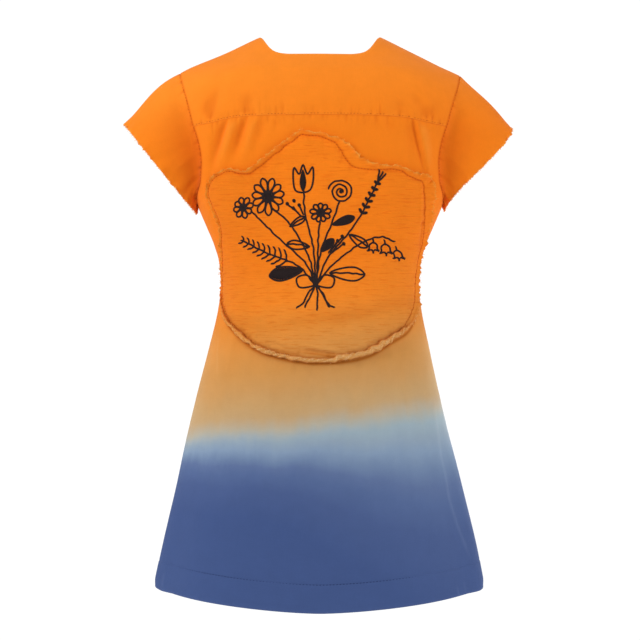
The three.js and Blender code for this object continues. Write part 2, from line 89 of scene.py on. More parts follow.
# Free edge of a front, as if on the left: how far to the right it reaches by height
WRAP_EDGE = table("z x", [
    (-790, 150), (-600, 131), (-450, 119), (-385, 113), (-355, 103), (-330, 82), (-290, 43), (-235, 0),
    (-180, -30), (-120, -54), (-60, -73), (0, -85),
])
NECK_HALF = 85
# Hem: height in the middle and its rise towards the sides, its rounded corners and its depth
HEM_BACK = {"middle": -790, "rise": 17.5}
HEM_FRONT = {"middle": -778, "rise": 5.5}
HEM_REACH = 205
HEM_CORNER = {"starts": 219, "ends": 232, "rise": 9}
HEM_DEPTH = 38
HEM_ZONE = 46
# Height of the yoke's stitch line over its seam
YOKE_STITCH = 1.5
# Where the left front dips under the right one, and how uneven the worn dress hangs
UNDER_DIP = {"depth": 3.4, "starts": 84, "width": 50, "side": 20}
SHOULDER_TILT = {"height": 2.4, "middle": 178, "width": 32, "low": -130}
SWAY = {"reach": 2.7, "middle": -520, "height": 95}
SIDE_CURVE = {"pull": 2.4, "starts": 16, "width": 15, "from": 200, "reach": 28}
# Painted highlight: how pale the side seams are. In all such tables 1 is the wearer's left and -1 the
# right
SIDE_HIGHLIGHT = {1: 0.42, -1: 0.65}

# Folds that hang from the yoke seam, and those that the fastening draws across the fronts:
# the places where each starts and ends, its width and its height
BACK_FOLDS = [
    (129, -123, 158, -214, 9, -2.9), (117, -121, 146, -208, 9, 2.6), (101, -120, 130, -202, 9, -2.4),
    (88, -119, 108, -190, 8, 1.8), (78, -119, 92, -178, 8, -1.6), (58, -118, 61, -146, 7, -1.0),
    (-60, -118, -62, -140, 7, -0.9), (-96, -119, -100, -150, 8, -1.3),
    (-122, -122, -139, -200, 9, -1.5), (-137, -123, -155, -212, 8, 2.4),
]
FRONT_FOLDS = [
    (62, -334, -92, -262, 20, 2.6), (60, -352, -96, -312, 17, -2.2), (58, -368, -84, -362, 18, 2.4),
    (72, -390, -52, -440, 19, -2.2), (96, -402, 20, -510, 20, 2.2), (-128, -212, -96, -268, 17, -2.2),
    (128, -212, 100, -262, 17, -2.2),
]
# Narrower creases on top of the folds
BACK_CREASES = [
    (127, -124, 146, -176, 3.6, -1.0), (121, -122, 136, -168, 3.4, 0.7),
    (102, -122, 120, -176, 3.4, -0.9), (95, -120, 104, -158, 3.2, 0.6), (80, -120, 86, -155, 3.0, -0.7),
    (70, -119, 72, -138, 2.8, -0.5), (46, -119, 46, -136, 2.6, -0.5), (31, -119, 32, -131, 2.4, 0.4),
    (-22, -119, -23, -132, 2.4, -0.4), (-44, -119, -45, -138, 2.6, -0.5),
    (-78, -119, -81, -142, 2.8, -0.7), (-110, -121, -113, -146, 3.0, -0.8),
    (-127, -123, -149, -216, 1.9, -2.0), (-132, -123, -154, -214, 2.6, 1.5),
    (150, -204, 162, -228, 5, -1.4), (-150, -206, -163, -230, 5, -1.8), (158, -214, 150, -262, 5, 1.2),
    (-156, -216, -148, -262, 4.5, 1.4), (146, -246, 140, -310, 5, -0.9),
    (-146, -250, -139, -312, 5, -1.0), (12, -462, 10, -540, 7, -0.7), (-48, -452, -58, -540, 8, -0.6),
    (62, -452, 78, -548, 8, 0.7), (-96, -432, -122, -540, 8, 0.6), (33, -458, 33, -500, 2.6, -0.6),
    (-6, -460, -8, -494, 3, -0.4), (118, -420, 128, -486, 6, 0.7),
]
# Painted shade along sharp folds, where the cloth closes on itself and looks dark
FOLD_SHADOWS = [
    (-126.5, -122, -148, -222, 1.7, 0.75), (133, -124, 152, -198, 2.6, 0.22),
    (106, -122, 122, -184, 2.6, 0.2), (-60, -119, -61, -138, 1.2, 0.3),
    (-78, -119, -80, -136, 1.2, 0.25), (60, -119, 62, -140, 1.4, 0.3),
]
# Pressed lines beside the side seams, raised and painted pale as a highlight: width and height, then the
# places that each runs through
SEAM_RIDGES = [
    (1.0, 0.4, [(140, -410), (142, -443), (141, -486)]),
    (1.8, 0.6, [(-157, -500), (-160, -530), (-163, -551), (-167, -584), (-173, -610),
                (-178, -641), (-188, -674), (-199, -706), (-208, -733)]),
    (4.5, -0.9, [(-164, -500), (-167, -530), (-170, -551), (-174, -584), (-180, -610),
                 (-185, -641), (-195, -674), (-206, -706), (-214, -733)]),
    (1.1, 0.35, [(-187, -758), (-192, -781)]), (1.1, 0.3, [(-198, -752), (-202, -780)]),
    (1.1, 0.3, [(213, -742), (220, -774)]),
]
YOKE_CREASES = [
    (104, -112, 96, -78, 9, -1.0), (88, -113, 84, -88, 6, 0.7), (122, -116, 116, -92, 7, 0.8),
    (-88, -112, -80, -72, 9, 0.8), (-112, -114, -106, -84, 8, -0.9), (-134, -118, -140, -88, 8, 0.8),
    (52, -112, 50, -96, 4, -0.5), (28, -112, 28, -100, 3.5, 0.4), (-34, -112, -34, -98, 4, -0.45),
    (150, -118, 158, -82, 10, -0.9), (-152, -120, -160, -80, 10, -0.8), (8, -112, 8, -101, 3.5, -0.35),
    (152, -108, 134, -66, 10, -1.3), (136, -112, 118, -64, 9, 1.2), (-142, -112, -126, -74, 9, -1.3),
    (-150, -96, -120, -60, 8, 1.0),
]
FRONT_CREASES = [
    (84, -346, 0, -318, 7, -1.8), (82, -360, -16, -348, 7, 1.9), (86, -376, 16, -396, 7, -1.9),
    (92, -384, 52, -446, 8, 1.7), (120, -398, 112, -470, 9, -1.5), (-150, -218, -122, -274, 7, -2.0),
    (150, -218, 122, -274, 7, -2.0), (-64, -118, -88, -200, 11, 1.6), (66, -112, 88, -196, 10, 1.5),
    (-138, -238, -104, -300, 8, 1.6), (136, -242, 104, -298, 8, 1.5), (-104, -84, -122, -150, 9, -1.4),
    (102, -88, 118, -142, 8, -1.3), (70, -352, -44, -334, 5, -1.0), (-60, -420, -52, -520, 10, 1.3),
]
# Soft waves by degrees round the skirt: place, width, height at the hem and where they begin
SKIRT_END = -780
SKIRT_WAVES = [
    (12, 9, 3.4, -420), (29, 10, -2.6, -470), (52, 12, 2.0, -520), (88, 17, -1.6, -560),
    (121, 13, 2.2, -500), (147, 9, -2.8, -470), (163, 8, 3.6, -410), (-160, 10, 2.8, -430),
    (-138, 11, -3.0, -480), (-112, 12, 2.6, -500), (-84, 10, -2.2, -520), (-58, 9, 3.0, -480),
    (-34, 10, -2.6, -450), (-16, 9, 2.6, -430),
]

# Sleeves: the raw opening is a slanted loop from its tip to its lowest place
CUFF_TIP = {1: np.array([275, 0, -123]), -1: np.array([269.5, 0, -127])}
CUFF_LOW = {1: np.array([174.5, 0, -247.5]), -1: np.array([176, 0, -244])}
CUFF_DEPTH = {"back": 47, "front": 51}
CUFF_BULGE = {1: 0.5, -1: 2}
CUFF_WAVE = {1: 0, -1: 4.5}
# How full a sleeve is at the top of the shoulder, near the armhole and near its tip
SLEEVE_CROWN = {1: 4.3, -1: 0.2}
SLEEVE_FULLNESS = {1: 0, -1: 1.6}
# Painted shade: how dark its lower half and its underarm are
SLEEVE_SHADE = {1: 1.0, -1: 0.75}
UNDERARM_SHADE = {1: 0.5, -1: 0.12}
# The arm's direction, and how strongly the sleeve leaves the armhole and turns along the arm
ARM_DIRECTION = np.array([0.78, 0, -0.626])
SLEEVE_LEAVE = 0.85
SLEEVE_ARRIVE = 0.7
# Folds and creases by degrees round the armhole, with their width and height
SLEEVE_FOLDS = [(118, 13, -2.4), (146, 11, 3.0), (-124, 13, -2.4), (-150, 11, 2.6)]
SLEEVE_CREASES = [
    (88, 5, -0.7), (104, 4, 1.0), (131, 4, -1.5), (146, 4, 1.2), (160, 4, 2.4), (169, 3, -1.6),
    (177, 3, 1.8), (-112, 5, 0.9), (-160, 5, 1.6), (-172, 4, -1.4),
]

# Patch: its raw edge, how far inside it the stitch line runs, how far the edge lifts and how much
# of it rolls up
PATCH_CENTRE = (0, -300)
PATCH_TURN = 130
PATCH_SIDE = 0.966
PATCH_EDGE = table("x z flap lift roll", [
    (150, -205, 2.5, 2.2, 0), (137, -195, 3, 2.4, 0), (123, -191, 3.5, 2.6, 0), (104, -195, 4, 2.6, 0),
    (91, -189, 5, 3.4, 0), (64, -167, 5.5, 3.6, 0.1), (38, -148, 5, 3.4, 0.1), (27, -141, 5.5, 3.6, 0),
    (13, -143, 4.5, 3.0, 0), (-14, -148, 4.5, 3.0, 0), (-38, -159, 9, 2.6, 0), (-58, -179, 13, 2.6, 0),
    (-84, -187, 6, 3.2, 0), (-108, -188, 5, 3.2, 0), (-128, -196, 7, 3.2, 0), (-147, -199, 12, 3.0, 0),
    (-156, -215, 18, 2.4, 0), (-153, -252, 15, 2.2, 0), (-146, -290, 11, 2.2, 0),
    (-138, -330, 11, 2.4, 0), (-136, -376, 15, 3.0, 0.05), (-125, -411, 12, 3.4, 0.4),
    (-98, -430, 6.6, 3.4, 1), (-64, -449, 6.6, 3.4, 1), (-10, -457, 6.6, 3.4, 1),
    (40, -453, 6.6, 3.4, 1), (84, -440, 6.6, 3.4, 1), (112, -419, 6.6, 3.4, 1),
    (130, -396, 6, 3.2, 0.8), (136, -360, 3, 2.4, 0.2), (135, -320, 2.5, 2.0, 0),
    (138, -268, 2.5, 2.0, 0), (150, -238, 2.5, 2.0, 0), (155, -221, 2.5, 2.0, 0),
])
PATCH_HEIGHT = 2.7
PATCH_SEAM_HEIGHT = 1.55
PATCH_CREASES = [
    (70, -424, 16, -440, 4, 1.3), (64, -430, 10, -446, 3, -0.8), (22, -432, -34, -446, 4, 1.3),
    (14, -438, -40, -450, 3, -0.9), (-46, -438, -96, -414, 4, 0.9), (96, -414, 60, -424, 4, 0.8),
    (-144, -212, -141, -300, 2.0, -1.1), (-149, -214, -146, -290, 1.8, 0.9),
    (-137, -210, -136, -280, 2.2, 0.9), (-140, -262, -136, -310, 2.0, -1.3),
    (118, -204, 60, -196, 7, 0.6), (-20, -444, 44, -436, 2.4, -1.5), (-24, -440, 30, -431, 3.2, 1.2),
    (56, -440, 20, -447, 2.6, -1.0), (120, -398, 70, -406, 4, -0.6), (112, -212, 40, -206, 6, -0.5),
    (110, -390, 40, -398, 9, 0.6), (-20, -400, -100, -388, 9, -0.5),
]
# Painted shade along the pulled creases near the patch's lower edge: where each starts and ends, its width
# and its darkness
PATCH_SHADOWS = [
    (-26, -449, 40, -440, 1.3, 0.85), (30, -450, 62, -442, 1.4, 0.5), (66, -441, 108, -414, 1.4, 0.45),
    (-60, -440, -100, -420, 1.4, 0.35),
]
PATCH_COLUMNS = 640
# The rolled edge: its flat start, its radius, how far round it turns, and the flat start's share
ROLL = {"flat": 3.0, "radius": 2.3, "turn": math.radians(315), "share": 0.22}

BUTTON = {"x": 90, "z": -354, "radius": 9, "thick": 3, "lie": 1.1, "hole": 1.1, "hole_out": 2.6}
BUTTON_THREAD = 0.75

# Stitches: their width, the gap between two, and how far the free edge's ones lie from that edge
SEAM_THREAD = 0.8
SEAM_GAP = 1.7
FREE_STITCH = 7.5
STITCH = {"step": 1.4, "length": 3.4, "width": 2.1, "height": 1.4, "slant": 1.0}
FILLING = {"pitch": 0.85, "width": 1.25, "height": 1.5}
FIBRES = {"cuff": 420, "patch": 1000, "roll": 1500}
ROLL_ROWS = 15


def clamp(value, low=0.0, high=1.0):
    """A value held between two limits."""
    return np.clip(value, low, high)


def smooth(value):
    """A soft step from 0 to 1."""
    share = clamp(value)
    return share * share * (3 - 2 * share)


def blend(low, high, share):
    """From one value to another by a share of the way."""
    return low + (high - low) * share


def hump(away, width):
    """A rounded rise: 1 in its middle, fading over a width to both sides."""
    return np.exp(-(away / width) ** 2)


def closed_ring(grid):
    """A grid with its first column again as its last."""
    return np.concatenate([grid, grid[:, :1]], axis=1)


def profile(rows, along, column):
    """A smooth curve through two columns of a table that never overshoots them."""
    order = np.argsort(rows[along])
    x = rows[along][order]
    y = rows[column][order]
    slope = np.diff(y) / np.diff(x)
    tangent = np.zeros(len(x))
    tangent[0] = slope[0]
    tangent[-1] = slope[-1]
    for i in range(1, len(x) - 1):
        if slope[i - 1] * slope[i] > 0:
            before = x[i] - x[i - 1]
            after = x[i + 1] - x[i]
            near = 2 * after + before
            far = after + 2 * before
            tangent[i] = (near + far) / (near / slope[i - 1] + far / slope[i])

    def curve(value):
        value = np.clip(value, x[0], x[-1])
        k = np.clip(np.searchsorted(x, value) - 1, 0, len(x) - 2)
        span = x[k + 1] - x[k]
        t = (value - x[k]) / span
        start = (1 + 2 * t) * (1 - t) ** 2 * y[k] + t * (1 - t) ** 2 * span * tangent[k]
        end = t * t * (3 - 2 * t) * y[k + 1] + t * t * (t - 1) * span * tangent[k + 1]
        return start + end

    return curve


half_width = profile(SECTIONS, "z", "half_width")
back_depth = profile(SECTIONS, "z", "back")
front_depth = profile(SECTIONS, "z", "front")
shoulder_line = profile(SHOULDER_LINE, "x", "z")
neck_line = profile(NECK_LINE, "x", "z")
yoke_line = profile(YOKE_LINE, "x", "z")
wrap_edge = profile(WRAP_EDGE, "z", "x")
armhole_back = profile(ARMHOLE, "z", "back")
armhole_front = profile(ARMHOLE, "z", "front")


def form_at(angle, z):
    """Places on the body: angle 0 is the left side seam, pi the right one, and the front is negative."""
    cosine = np.cos(angle)
    sine = np.sin(angle)
    x = half_width(z) * np.sign(cosine) * np.abs(cosine) ** (2 / RING_POWER)
    behind = sine >= 0
    depth = np.where(behind, back_depth(z), front_depth(z))
    drop = clamp((shoulder_line(np.abs(x)) - z) / np.where(behind, BACK_ARCH, FRONT_ARCH))
    y = np.sign(sine) * depth * np.abs(sine) ** (2 / RING_POWER) * np.sqrt(1 - (1 - drop) ** 2)
    return np.stack([x, y, z + 0 * x], axis=-1)


def tilted(points):
    """The dress doesn't hang quite even: its left shoulder is higher and its skirt sways to the left."""
    reach = (np.abs(points[..., 0]) - SHOULDER_TILT["middle"]) / SHOULDER_TILT["width"]
    share = smooth((points[..., 2] - SHOULDER_TILT["low"]) / 60)
    points[..., 2] += SHOULDER_TILT["height"] * np.sign(points[..., 0]) * hump(reach, 1) * share
    points[..., 0] += SWAY["reach"] * hump(points[..., 2] - SWAY["middle"], SWAY["height"])
    return points


def angle_at(x, z):
    """Angle of a place on the back by its sideways place."""
    reach = clamp(np.abs(x) / half_width(z))
    return np.arccos(np.sign(x) * reach ** (RING_POWER / 2))


def unit(vectors):
    """Directions of length one."""
    return vectors / np.maximum(np.linalg.norm(vectors, axis=-1, keepdims=True), 1e-9)


def form_normal(angle, z):
    """Outward direction of the body."""
    turn = form_at(angle + 0.003, z) - form_at(angle - 0.003, z)
    rise = form_at(angle, z + 0.3) - form_at(angle, z - 0.3)
    normal = unit(np.cross(turn, rise))
    facing = normal[..., 0] * np.cos(angle) + normal[..., 1] * np.sin(angle)
    return normal * np.where(facing < 0, -1, 1)[..., None]


def grid_normals(points, outward):
    """Outward direction at each place of a grid of points."""
    across = np.gradient(points, axis=1)
    down = np.gradient(points, axis=0)
    normal = unit(np.cross(down, across))
    side = np.sum(normal * outward, axis=-1, keepdims=True)
    return normal * (1 if side.mean() > 0 else -1)


def settle(x, height_at, sideways_at):
    """Places whose height and sideways place depend on each other."""
    z = height_at(x)
    for _ in range(9):
        x = sideways_at(z)
        z = height_at(x)
    return x, z


def hem_line(x, hem):
    """Height of the lower edge, which rises towards the side seams."""
    return hem["middle"] + hem["rise"] * clamp(np.abs(x) / HEM_REACH) ** 1.5


def hem_corner(x, rise):
    """The hem's corners at the side seams are rounded: their edge is drawn up, the stitch line isn't."""
    share = clamp((np.abs(x) - HEM_CORNER["starts"]) / (HEM_CORNER["ends"] - HEM_CORNER["starts"]))
    return HEM_CORNER["rise"] * (1 - np.sqrt(1 - share ** 2)) * clamp(1 - rise / HEM_DEPTH)


def creases(x, z, rows, power=2.0):
    """Height of folds given in a table: each runs along its line, rounded across, and fades out."""
    total = np.zeros(np.broadcast(x, z).shape)
    for x0, z0, x1, z1, width, height in rows:
        along_x = x1 - x0
        along_z = z1 - z0
        share = clamp(((x - x0) * along_x + (z - z0) * along_z) / (along_x ** 2 + along_z ** 2))
        away = np.hypot(x - x0 - along_x * share, z - z0 - along_z * share) / width
        total += height * np.exp(-away ** power) * (1 - smooth((share - 0.35) / 0.65))
    return total


def ridges(x, z):
    """Height of the pressed lines, which fade at both ends."""
    total = np.zeros(np.broadcast(x, z).shape)
    for width, height, places in SEAM_RIDGES:
        places = np.array(places, float)
        down = np.concatenate([[0], np.cumsum(-np.diff(places[:, 1]))])
        along = places[0, 1] - z
        away = (x - np.interp(along, down, places[:, 0])) / width
        fade = min(30, down[-1] / 3)
        total += height * np.exp(-away * away) * smooth(along / fade) * smooth((down[-1] - along) / fade)
    return total


def back_lift(x, z):
    """Height of the folds that hang from the yoke seam and end at the armholes."""
    seam = smooth((yoke_line(np.abs(x)) - z) / 14)
    side = np.where(z > UNDERARM_Z, smooth((armhole_back(z) - np.abs(x)) / 16), 1)
    return creases(x, z, BACK_FOLDS) * seam * side


def patch_top(x):
    """Height of the patch's upper edge."""
    upper = PATCH_EDGE["z"] > -216
    order = np.argsort(PATCH_EDGE["x"][upper])
    return np.interp(x, PATCH_EDGE["x"][upper][order], PATCH_EDGE["z"][upper][order])


def skirt_lift(angle, z):
    """Height of the skirt's soft waves, which grow towards the hem."""
    turn = np.degrees(angle)
    total = np.zeros(np.broadcast(angle, z).shape)
    for place, width, height, top in SKIRT_WAVES:
        turned = np.abs(turn - place)
        away = np.minimum(turned, 360 - turned) / width
        total += height * np.exp(-away * away) * smooth((top - z) / (top - SKIRT_END))
    return total


def body_lift(angle, z):
    """Height of the back's folds and waves together."""
    x = form_at(angle, z)[..., 0]
    return back_lift(x, z) + skirt_lift(angle, z)


def puckers(along, away, pitch, reach, height, seed):
    """Fine gathers that a seam draws in: uneven in place, length and depth."""
    draw = np.random.default_rng(seed)
    low = float(np.min(along))
    high = float(np.max(along))
    total = np.zeros(np.broadcast(along, away).shape)
    place = low
    while place < high:
        width = pitch * draw.uniform(0.22, 0.36)
        length = reach * draw.uniform(0.5, 1.4)
        depth = height * draw.uniform(0.35, 1.0) * draw.choice([-1, 1])
        total += depth * hump(along - place, width) * hump(away, length)
        place += pitch * draw.uniform(0.6, 1.5)
    return total


def waver(along, length, seed, waves=5):
    """A smooth uneven wave of height about one along a line."""
    draw = np.random.default_rng(seed)
    total = np.zeros(np.shape(along))
    for _ in range(waves):
        total += np.sin(2 * np.pi * (along / (length * draw.uniform(0.6, 1.7)) + draw.uniform()))
    return total / math.sqrt(waves)


def lengths(points):
    """Distance along a line of points."""
    steps = np.linalg.norm(np.diff(points, axis=0), axis=-1)
    return np.concatenate([[0], np.cumsum(steps)])


def resample(points, places):
    """Points at given shares of a line's length."""
    run = lengths(points)
    columns = [np.interp(places * run[-1], run, column) for column in points.T]
    return np.stack(columns, axis=-1)


def curve_through(points, closed=False, step=1.0):
    """A rounded line through a few points, with points a step apart."""
    points = np.array(points, float)
    if closed:
        loop = np.vstack([points[-1], points, points[0], points[1]])
    else:
        loop = np.vstack([2 * points[0] - points[1], points, 2 * points[-1] - points[-2]])
    parts = []
    for k in range(len(loop) - 3):
        a, b, c, d = loop[k:k + 4]
        t = np.linspace(0, 1, 24, endpoint=False)[:, None]
        parts.append(0.5 * (2 * b + (c - a) * t + (2 * a - 5 * b + 4 * c - d) * t ** 2
                            + (3 * b - a - 3 * c + d) * t ** 3))
    line = np.vstack(parts + [loop[-2:-1]])
    count = max(2, round(lengths(line)[-1] / step))
    return resample(line, np.linspace(0, 1, count + 1))


# ---- meshes ----
def deselect():
    """Leaves edit mode, with nothing selected."""
    if bpy.context.object and bpy.context.object.mode != "OBJECT":
        bpy.ops.object.mode_set(mode="OBJECT")
    bpy.ops.object.select_all(action="DESELECT")


def edit(obj, *steps):
    """Runs edit-mode steps on all of an object's mesh."""
    deselect()
    obj.select_set(True)
    bpy.context.view_layer.objects.active = obj
    bpy.ops.object.mode_set(mode="EDIT")
    bpy.ops.mesh.select_all(action="SELECT")
    for step in steps:
        step()
    bpy.ops.object.mode_set(mode="OBJECT")


def apply_modifier(obj, kind, **settings):
    """Adds a modifier and applies it at once."""
    deselect()
    obj.select_set(True)
    bpy.context.view_layer.objects.active = obj
    modifier = obj.modifiers.new(kind.title(), kind)
    for name, value in settings.items():
        setattr(modifier, name, value)
    bpy.ops.object.modifier_apply(modifier=modifier.name)


def round_shading(obj, degrees):
    """Shades an object smooth, apart from its edges sharper than an angle."""
    deselect()
    obj.select_set(True)
    bpy.context.view_layer.objects.active = obj
    bpy.ops.object.shade_smooth_by_angle(angle=math.radians(degrees))


def cloth(name, points, outward, thickness, marks=None, merge=0.0):
    """A sheet of cloth from a grid of its outer points, with its own map in metres and a wall inwards."""
    rows, columns = points.shape[:2]
    down = np.gradient(points, axis=0)
    across = np.gradient(points, axis=1)
    facing = np.sum(np.cross(down, across) * outward, axis=-1)
    marks = dict(marks or {})
    if facing.mean() < 0:
        points = points[:, ::-1]
        marks = {key: value[:, ::-1] for key, value in marks.items()}
    deselect()
    bpy.ops.mesh.primitive_grid_add(x_subdivisions=columns - 1, y_subdivisions=rows - 1, size=1)
    obj = bpy.context.object
    obj.name = name
    obj.data.name = name
    mesh = obj.data
    flat = np.empty(3 * len(mesh.vertices))
    mesh.vertices.foreach_get("co", flat)
    flat = flat.reshape(-1, 3)
    column = np.rint((flat[:, 0] + 0.5) * (columns - 1)).astype(int)
    row = np.rint((0.5 - flat[:, 1]) * (rows - 1)).astype(int)
    shaped = points[row, column] * MM
    mesh.vertices.foreach_set("co", shaped.ravel())
    steps_across = np.linalg.norm(np.diff(points, axis=1), axis=-1)
    steps_down = np.linalg.norm(np.diff(points, axis=0), axis=-1)
    run_across = np.concatenate([np.zeros((rows, 1)), np.cumsum(steps_across, axis=1)], axis=1)
    run_across -= run_across[:, columns // 2][:, None]
    run_down = np.concatenate([np.zeros((1, columns)), np.cumsum(steps_down, axis=0)], axis=0)
    own_map = np.stack([run_across, -run_down], axis=-1)[row, column] * MM
    corners = np.empty(len(mesh.loops), dtype=np.int32)
    mesh.loops.foreach_get("vertex_index", corners)
    mesh.uv_layers[0].data.foreach_set("uv", own_map[corners].ravel())
    for key, value in marks.items():
        attribute = mesh.attributes.new(key, "FLOAT", "POINT")
        attribute.data.foreach_set("value", np.broadcast_to(value, (rows, columns))[row, column].copy())
    mesh.update()
    if merge:
        edit(obj, lambda: bpy.ops.mesh.remove_doubles(threshold=merge * MM))
    apply_modifier(obj, "SOLIDIFY", thickness=thickness, offset=-1)
    round_shading(obj, 50)
    return obj


def template(sides, rings):
    """One short thread, modelled once: a slim bead with a flat underside. Gives its points and faces."""
    deselect()
    bpy.ops.mesh.primitive_uv_sphere_add(segments=sides, ring_count=rings, radius=1)
    bead = bpy.context.object
    edit(bead, lambda: bpy.ops.transform.rotate(
        value=math.pi / 2, orient_axis="Y", center_override=(0, 0, 0)))
    for vertex in bead.data.vertices:
        vertex.co.z = max(vertex.co.z, -0.55)
        vertex.co.x = math.copysign(abs(vertex.co.x) ** 0.8, vertex.co.x)
    points = np.array([tuple(vertex.co) for vertex in bead.data.vertices])
    faces = [tuple(face.vertices) for face in bead.data.polygons]
    bpy.data.objects.remove(bead)
    return points, faces


def thread_copies(name, shape, starts, ends, normals, width, height):
    """Copies of one modelled thread between pairs of points, joined in one mesh."""
    points, faces = shape
    starts = np.asarray(starts)
    ends = np.asarray(ends)
    along = (ends - starts) / 2
    centre = (ends + starts) / 2
    side = unit(np.cross(normals, unit(along)))
    up = unit(np.cross(unit(along), side))
    width = np.broadcast_to(width, len(starts))[:, None] / 2
    height = np.broadcast_to(height, len(starts))[:, None] / 2
    placed = (centre[:, None] + along[:, None] * points[None, :, 0:1]
              + (side * width)[:, None] * points[None, :, 1:2]
              + (up * height)[:, None] * points[None, :, 2:3])
    count = len(points)
    all_faces = [tuple(i + k * count for i in face) for k in range(len(starts)) for face in faces]
    mesh = bpy.data.meshes.new(name)
    mesh.from_pydata((placed.reshape(-1, 3) * MM).tolist(), [], all_faces)
    mesh.shade_smooth()
    obj = bpy.data.objects.new(name, mesh)
    bpy.context.collection.objects.link(obj)
    edit(obj, lambda: bpy.ops.mesh.normals_make_consistent(inside=False))
    return obj


def running_stitches(line, normals, length, gap, sink=0.0):
    """Ends and outward directions of stitches along a line of points."""
    run = lengths(line)
    count = int(run[-1] // (length + gap))
    begins = (np.arange(count) + 0.5) * (length + gap) - length / 2

    def pick(places, values):
        return np.stack([np.interp(places, run, column) for column in values.T], axis=-1)

    out = unit(pick(begins + length / 2, normals))
    return pick(begins, line) - out * sink, pick(begins + length, line) - out * sink, out


def add_piece(obj, finish, slot, *nodes):
    """Gives a finished piece its material and its body, and hides the CAD nodes that it stands for."""
    obj.data.materials.clear()
    obj.data.materials.append(finish)
    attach(obj, "root")
    if nodes:
        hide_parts(*nodes)
    return obj


# ---- shapes of the pieces ----
def spread(*parts):
    """Places along a side: each part gives its start, its end and how many steps it has."""
    values = [np.linspace(start, end, count, endpoint=False) for start, end, count in parts]
    return np.concatenate(values + [[parts[-1][1]]])


def yoke_places(u, share):
    """Yoke: u from the left armhole to the right one, share from the shoulder down to the seam."""
    w = 1 - 2 * u
    side = np.where(w < 0, -1.0, 1.0)

    def height(x):
        reach = np.abs(x)
        top = np.where(reach < NECK_HALF, neck_line(reach), shoulder_line(reach))
        return blend(top, yoke_line(reach), share)

    out = clamp((np.abs(w) - 0.5) / 0.5)
    x, z = settle(side * NECK_HALF, height, lambda z: side * blend(NECK_HALF, armhole_back(z), out))
    middle = np.abs(w) <= 0.5
    x = np.where(middle, NECK_HALF * np.sin(np.pi * clamp(w, -0.5, 0.5)), x)
    return x, height(x)


def row_height(x, top, share, rise, hem):
    """Height of a row by its share of the way down to the hem zone, or there its rise over the hem."""
    return blend(top, hem_line(x, hem) + HEM_ZONE, share) - (HEM_ZONE - rise) + hem_corner(x, rise)


def back_places(u, upper, share, rise):
    """Back: u from the left side to the right one, then rows from the yoke seam down to the hem."""
    def height(x):
        return row_height(x, blend(yoke_line(np.abs(x)), UNDERARM_Z, upper), share, rise, HEM_BACK)

    def angle(z):
        edge = np.where(upper < 1, angle_at(armhole_back(z), z), 0)
        return blend(edge, np.pi - edge, u)

    x, z = settle(NECK_HALF * (1 - 2 * u), height, lambda z: form_at(angle(z), z)[..., 0])
    return angle(z), z


def front_places(u, upper, share, rise, under):
    """A front as if on the left: u from the side to the free edge, rows from the shoulder down."""
    def height(x):
        return row_height(x, blend(shoulder_line(np.abs(x)), UNDERARM_Z, upper), share, rise, HEM_FRONT)

    def angle(z):
        edge = np.where(upper < 1, angle_at(armhole_front(z), z), -under)
        return blend(edge, angle_at(-wrap_edge(z), z), u)

    x, z = settle(NECK_HALF + 0 * u, height, lambda z: form_at(angle(z), z)[..., 0])
    return angle(z), z


def hem_rows():
    """Shares of the way down and rises over the hem of the rows under the arms."""
    rise = spread((HEM_ZONE, 40.4, 3), (40.4, 36.2, 7), (36.2, 4, 12), (4, 0, 6))
    share = spread((0, 0.25, 36), (0.25, 0.46, 60), (0.46, 1, 80))[1:-1]
    shares = np.concatenate([share, np.ones(len(rise))])
    return shares, np.concatenate([np.full(len(share), HEM_ZONE), rise])


def hem_lift(z, hem):
    """The turned hem: two layers thick, drawn in along its stitch line, with a rounded lower fold."""
    above = z - hem
    band = 0.35 * smooth((HEM_DEPTH + 1.5 - above) / 3)
    groove = -0.5 * hump(above - HEM_DEPTH, 1.1)
    fold = -0.7 * (1 - smooth(above / 2.4))
    return band + groove + fold


def full_rows(upper_rows):
    """Rows of a panel: those beside the armhole, then those under the arm down to the hem."""
    share, rise = hem_rows()
    upper = np.concatenate([upper_rows, np.ones(len(share))])[:, None]
    below = np.concatenate([np.zeros(len(upper_rows)), share])[:, None]
    high = np.concatenate([np.full(len(upper_rows), HEM_ZONE), rise])[:, None]
    return upper, below, high


def around(points):
    """Outward directions from the middle of the body."""
    return unit(points * np.array([1, 1, 0]) + np.array([0, 0, 1e-3]))


def edge_mark(distance, width=3.0):
    """How near a place is to an edge: 1 on it, and fading away from it."""
    return np.exp(-clamp(distance, 0, 1e6) / width)


def side_curve(points, above):
    """The side seams bend inwards just over the hem."""
    reach = smooth((np.abs(points[..., 0]) - SIDE_CURVE["from"]) / SIDE_CURVE["reach"])
    share = smooth((SIDE_CURVE["starts"] - above) / SIDE_CURVE["width"]) ** 1.2
    points[..., 0] -= np.sign(points[..., 0]) * SIDE_CURVE["pull"] * reach * share


def painted_side_highlight(x, z, side, width):
    """Painted highlight: where the sand and the pale blue meet the side seams the cloth is painted paler.
    """
    strength = np.where(x > 0, SIDE_HIGHLIGHT[1], SIDE_HIGHLIGHT[-1])
    return strength * hump(side, width) * smooth((-395 - z) / 50) * smooth((z + 600) / 60)


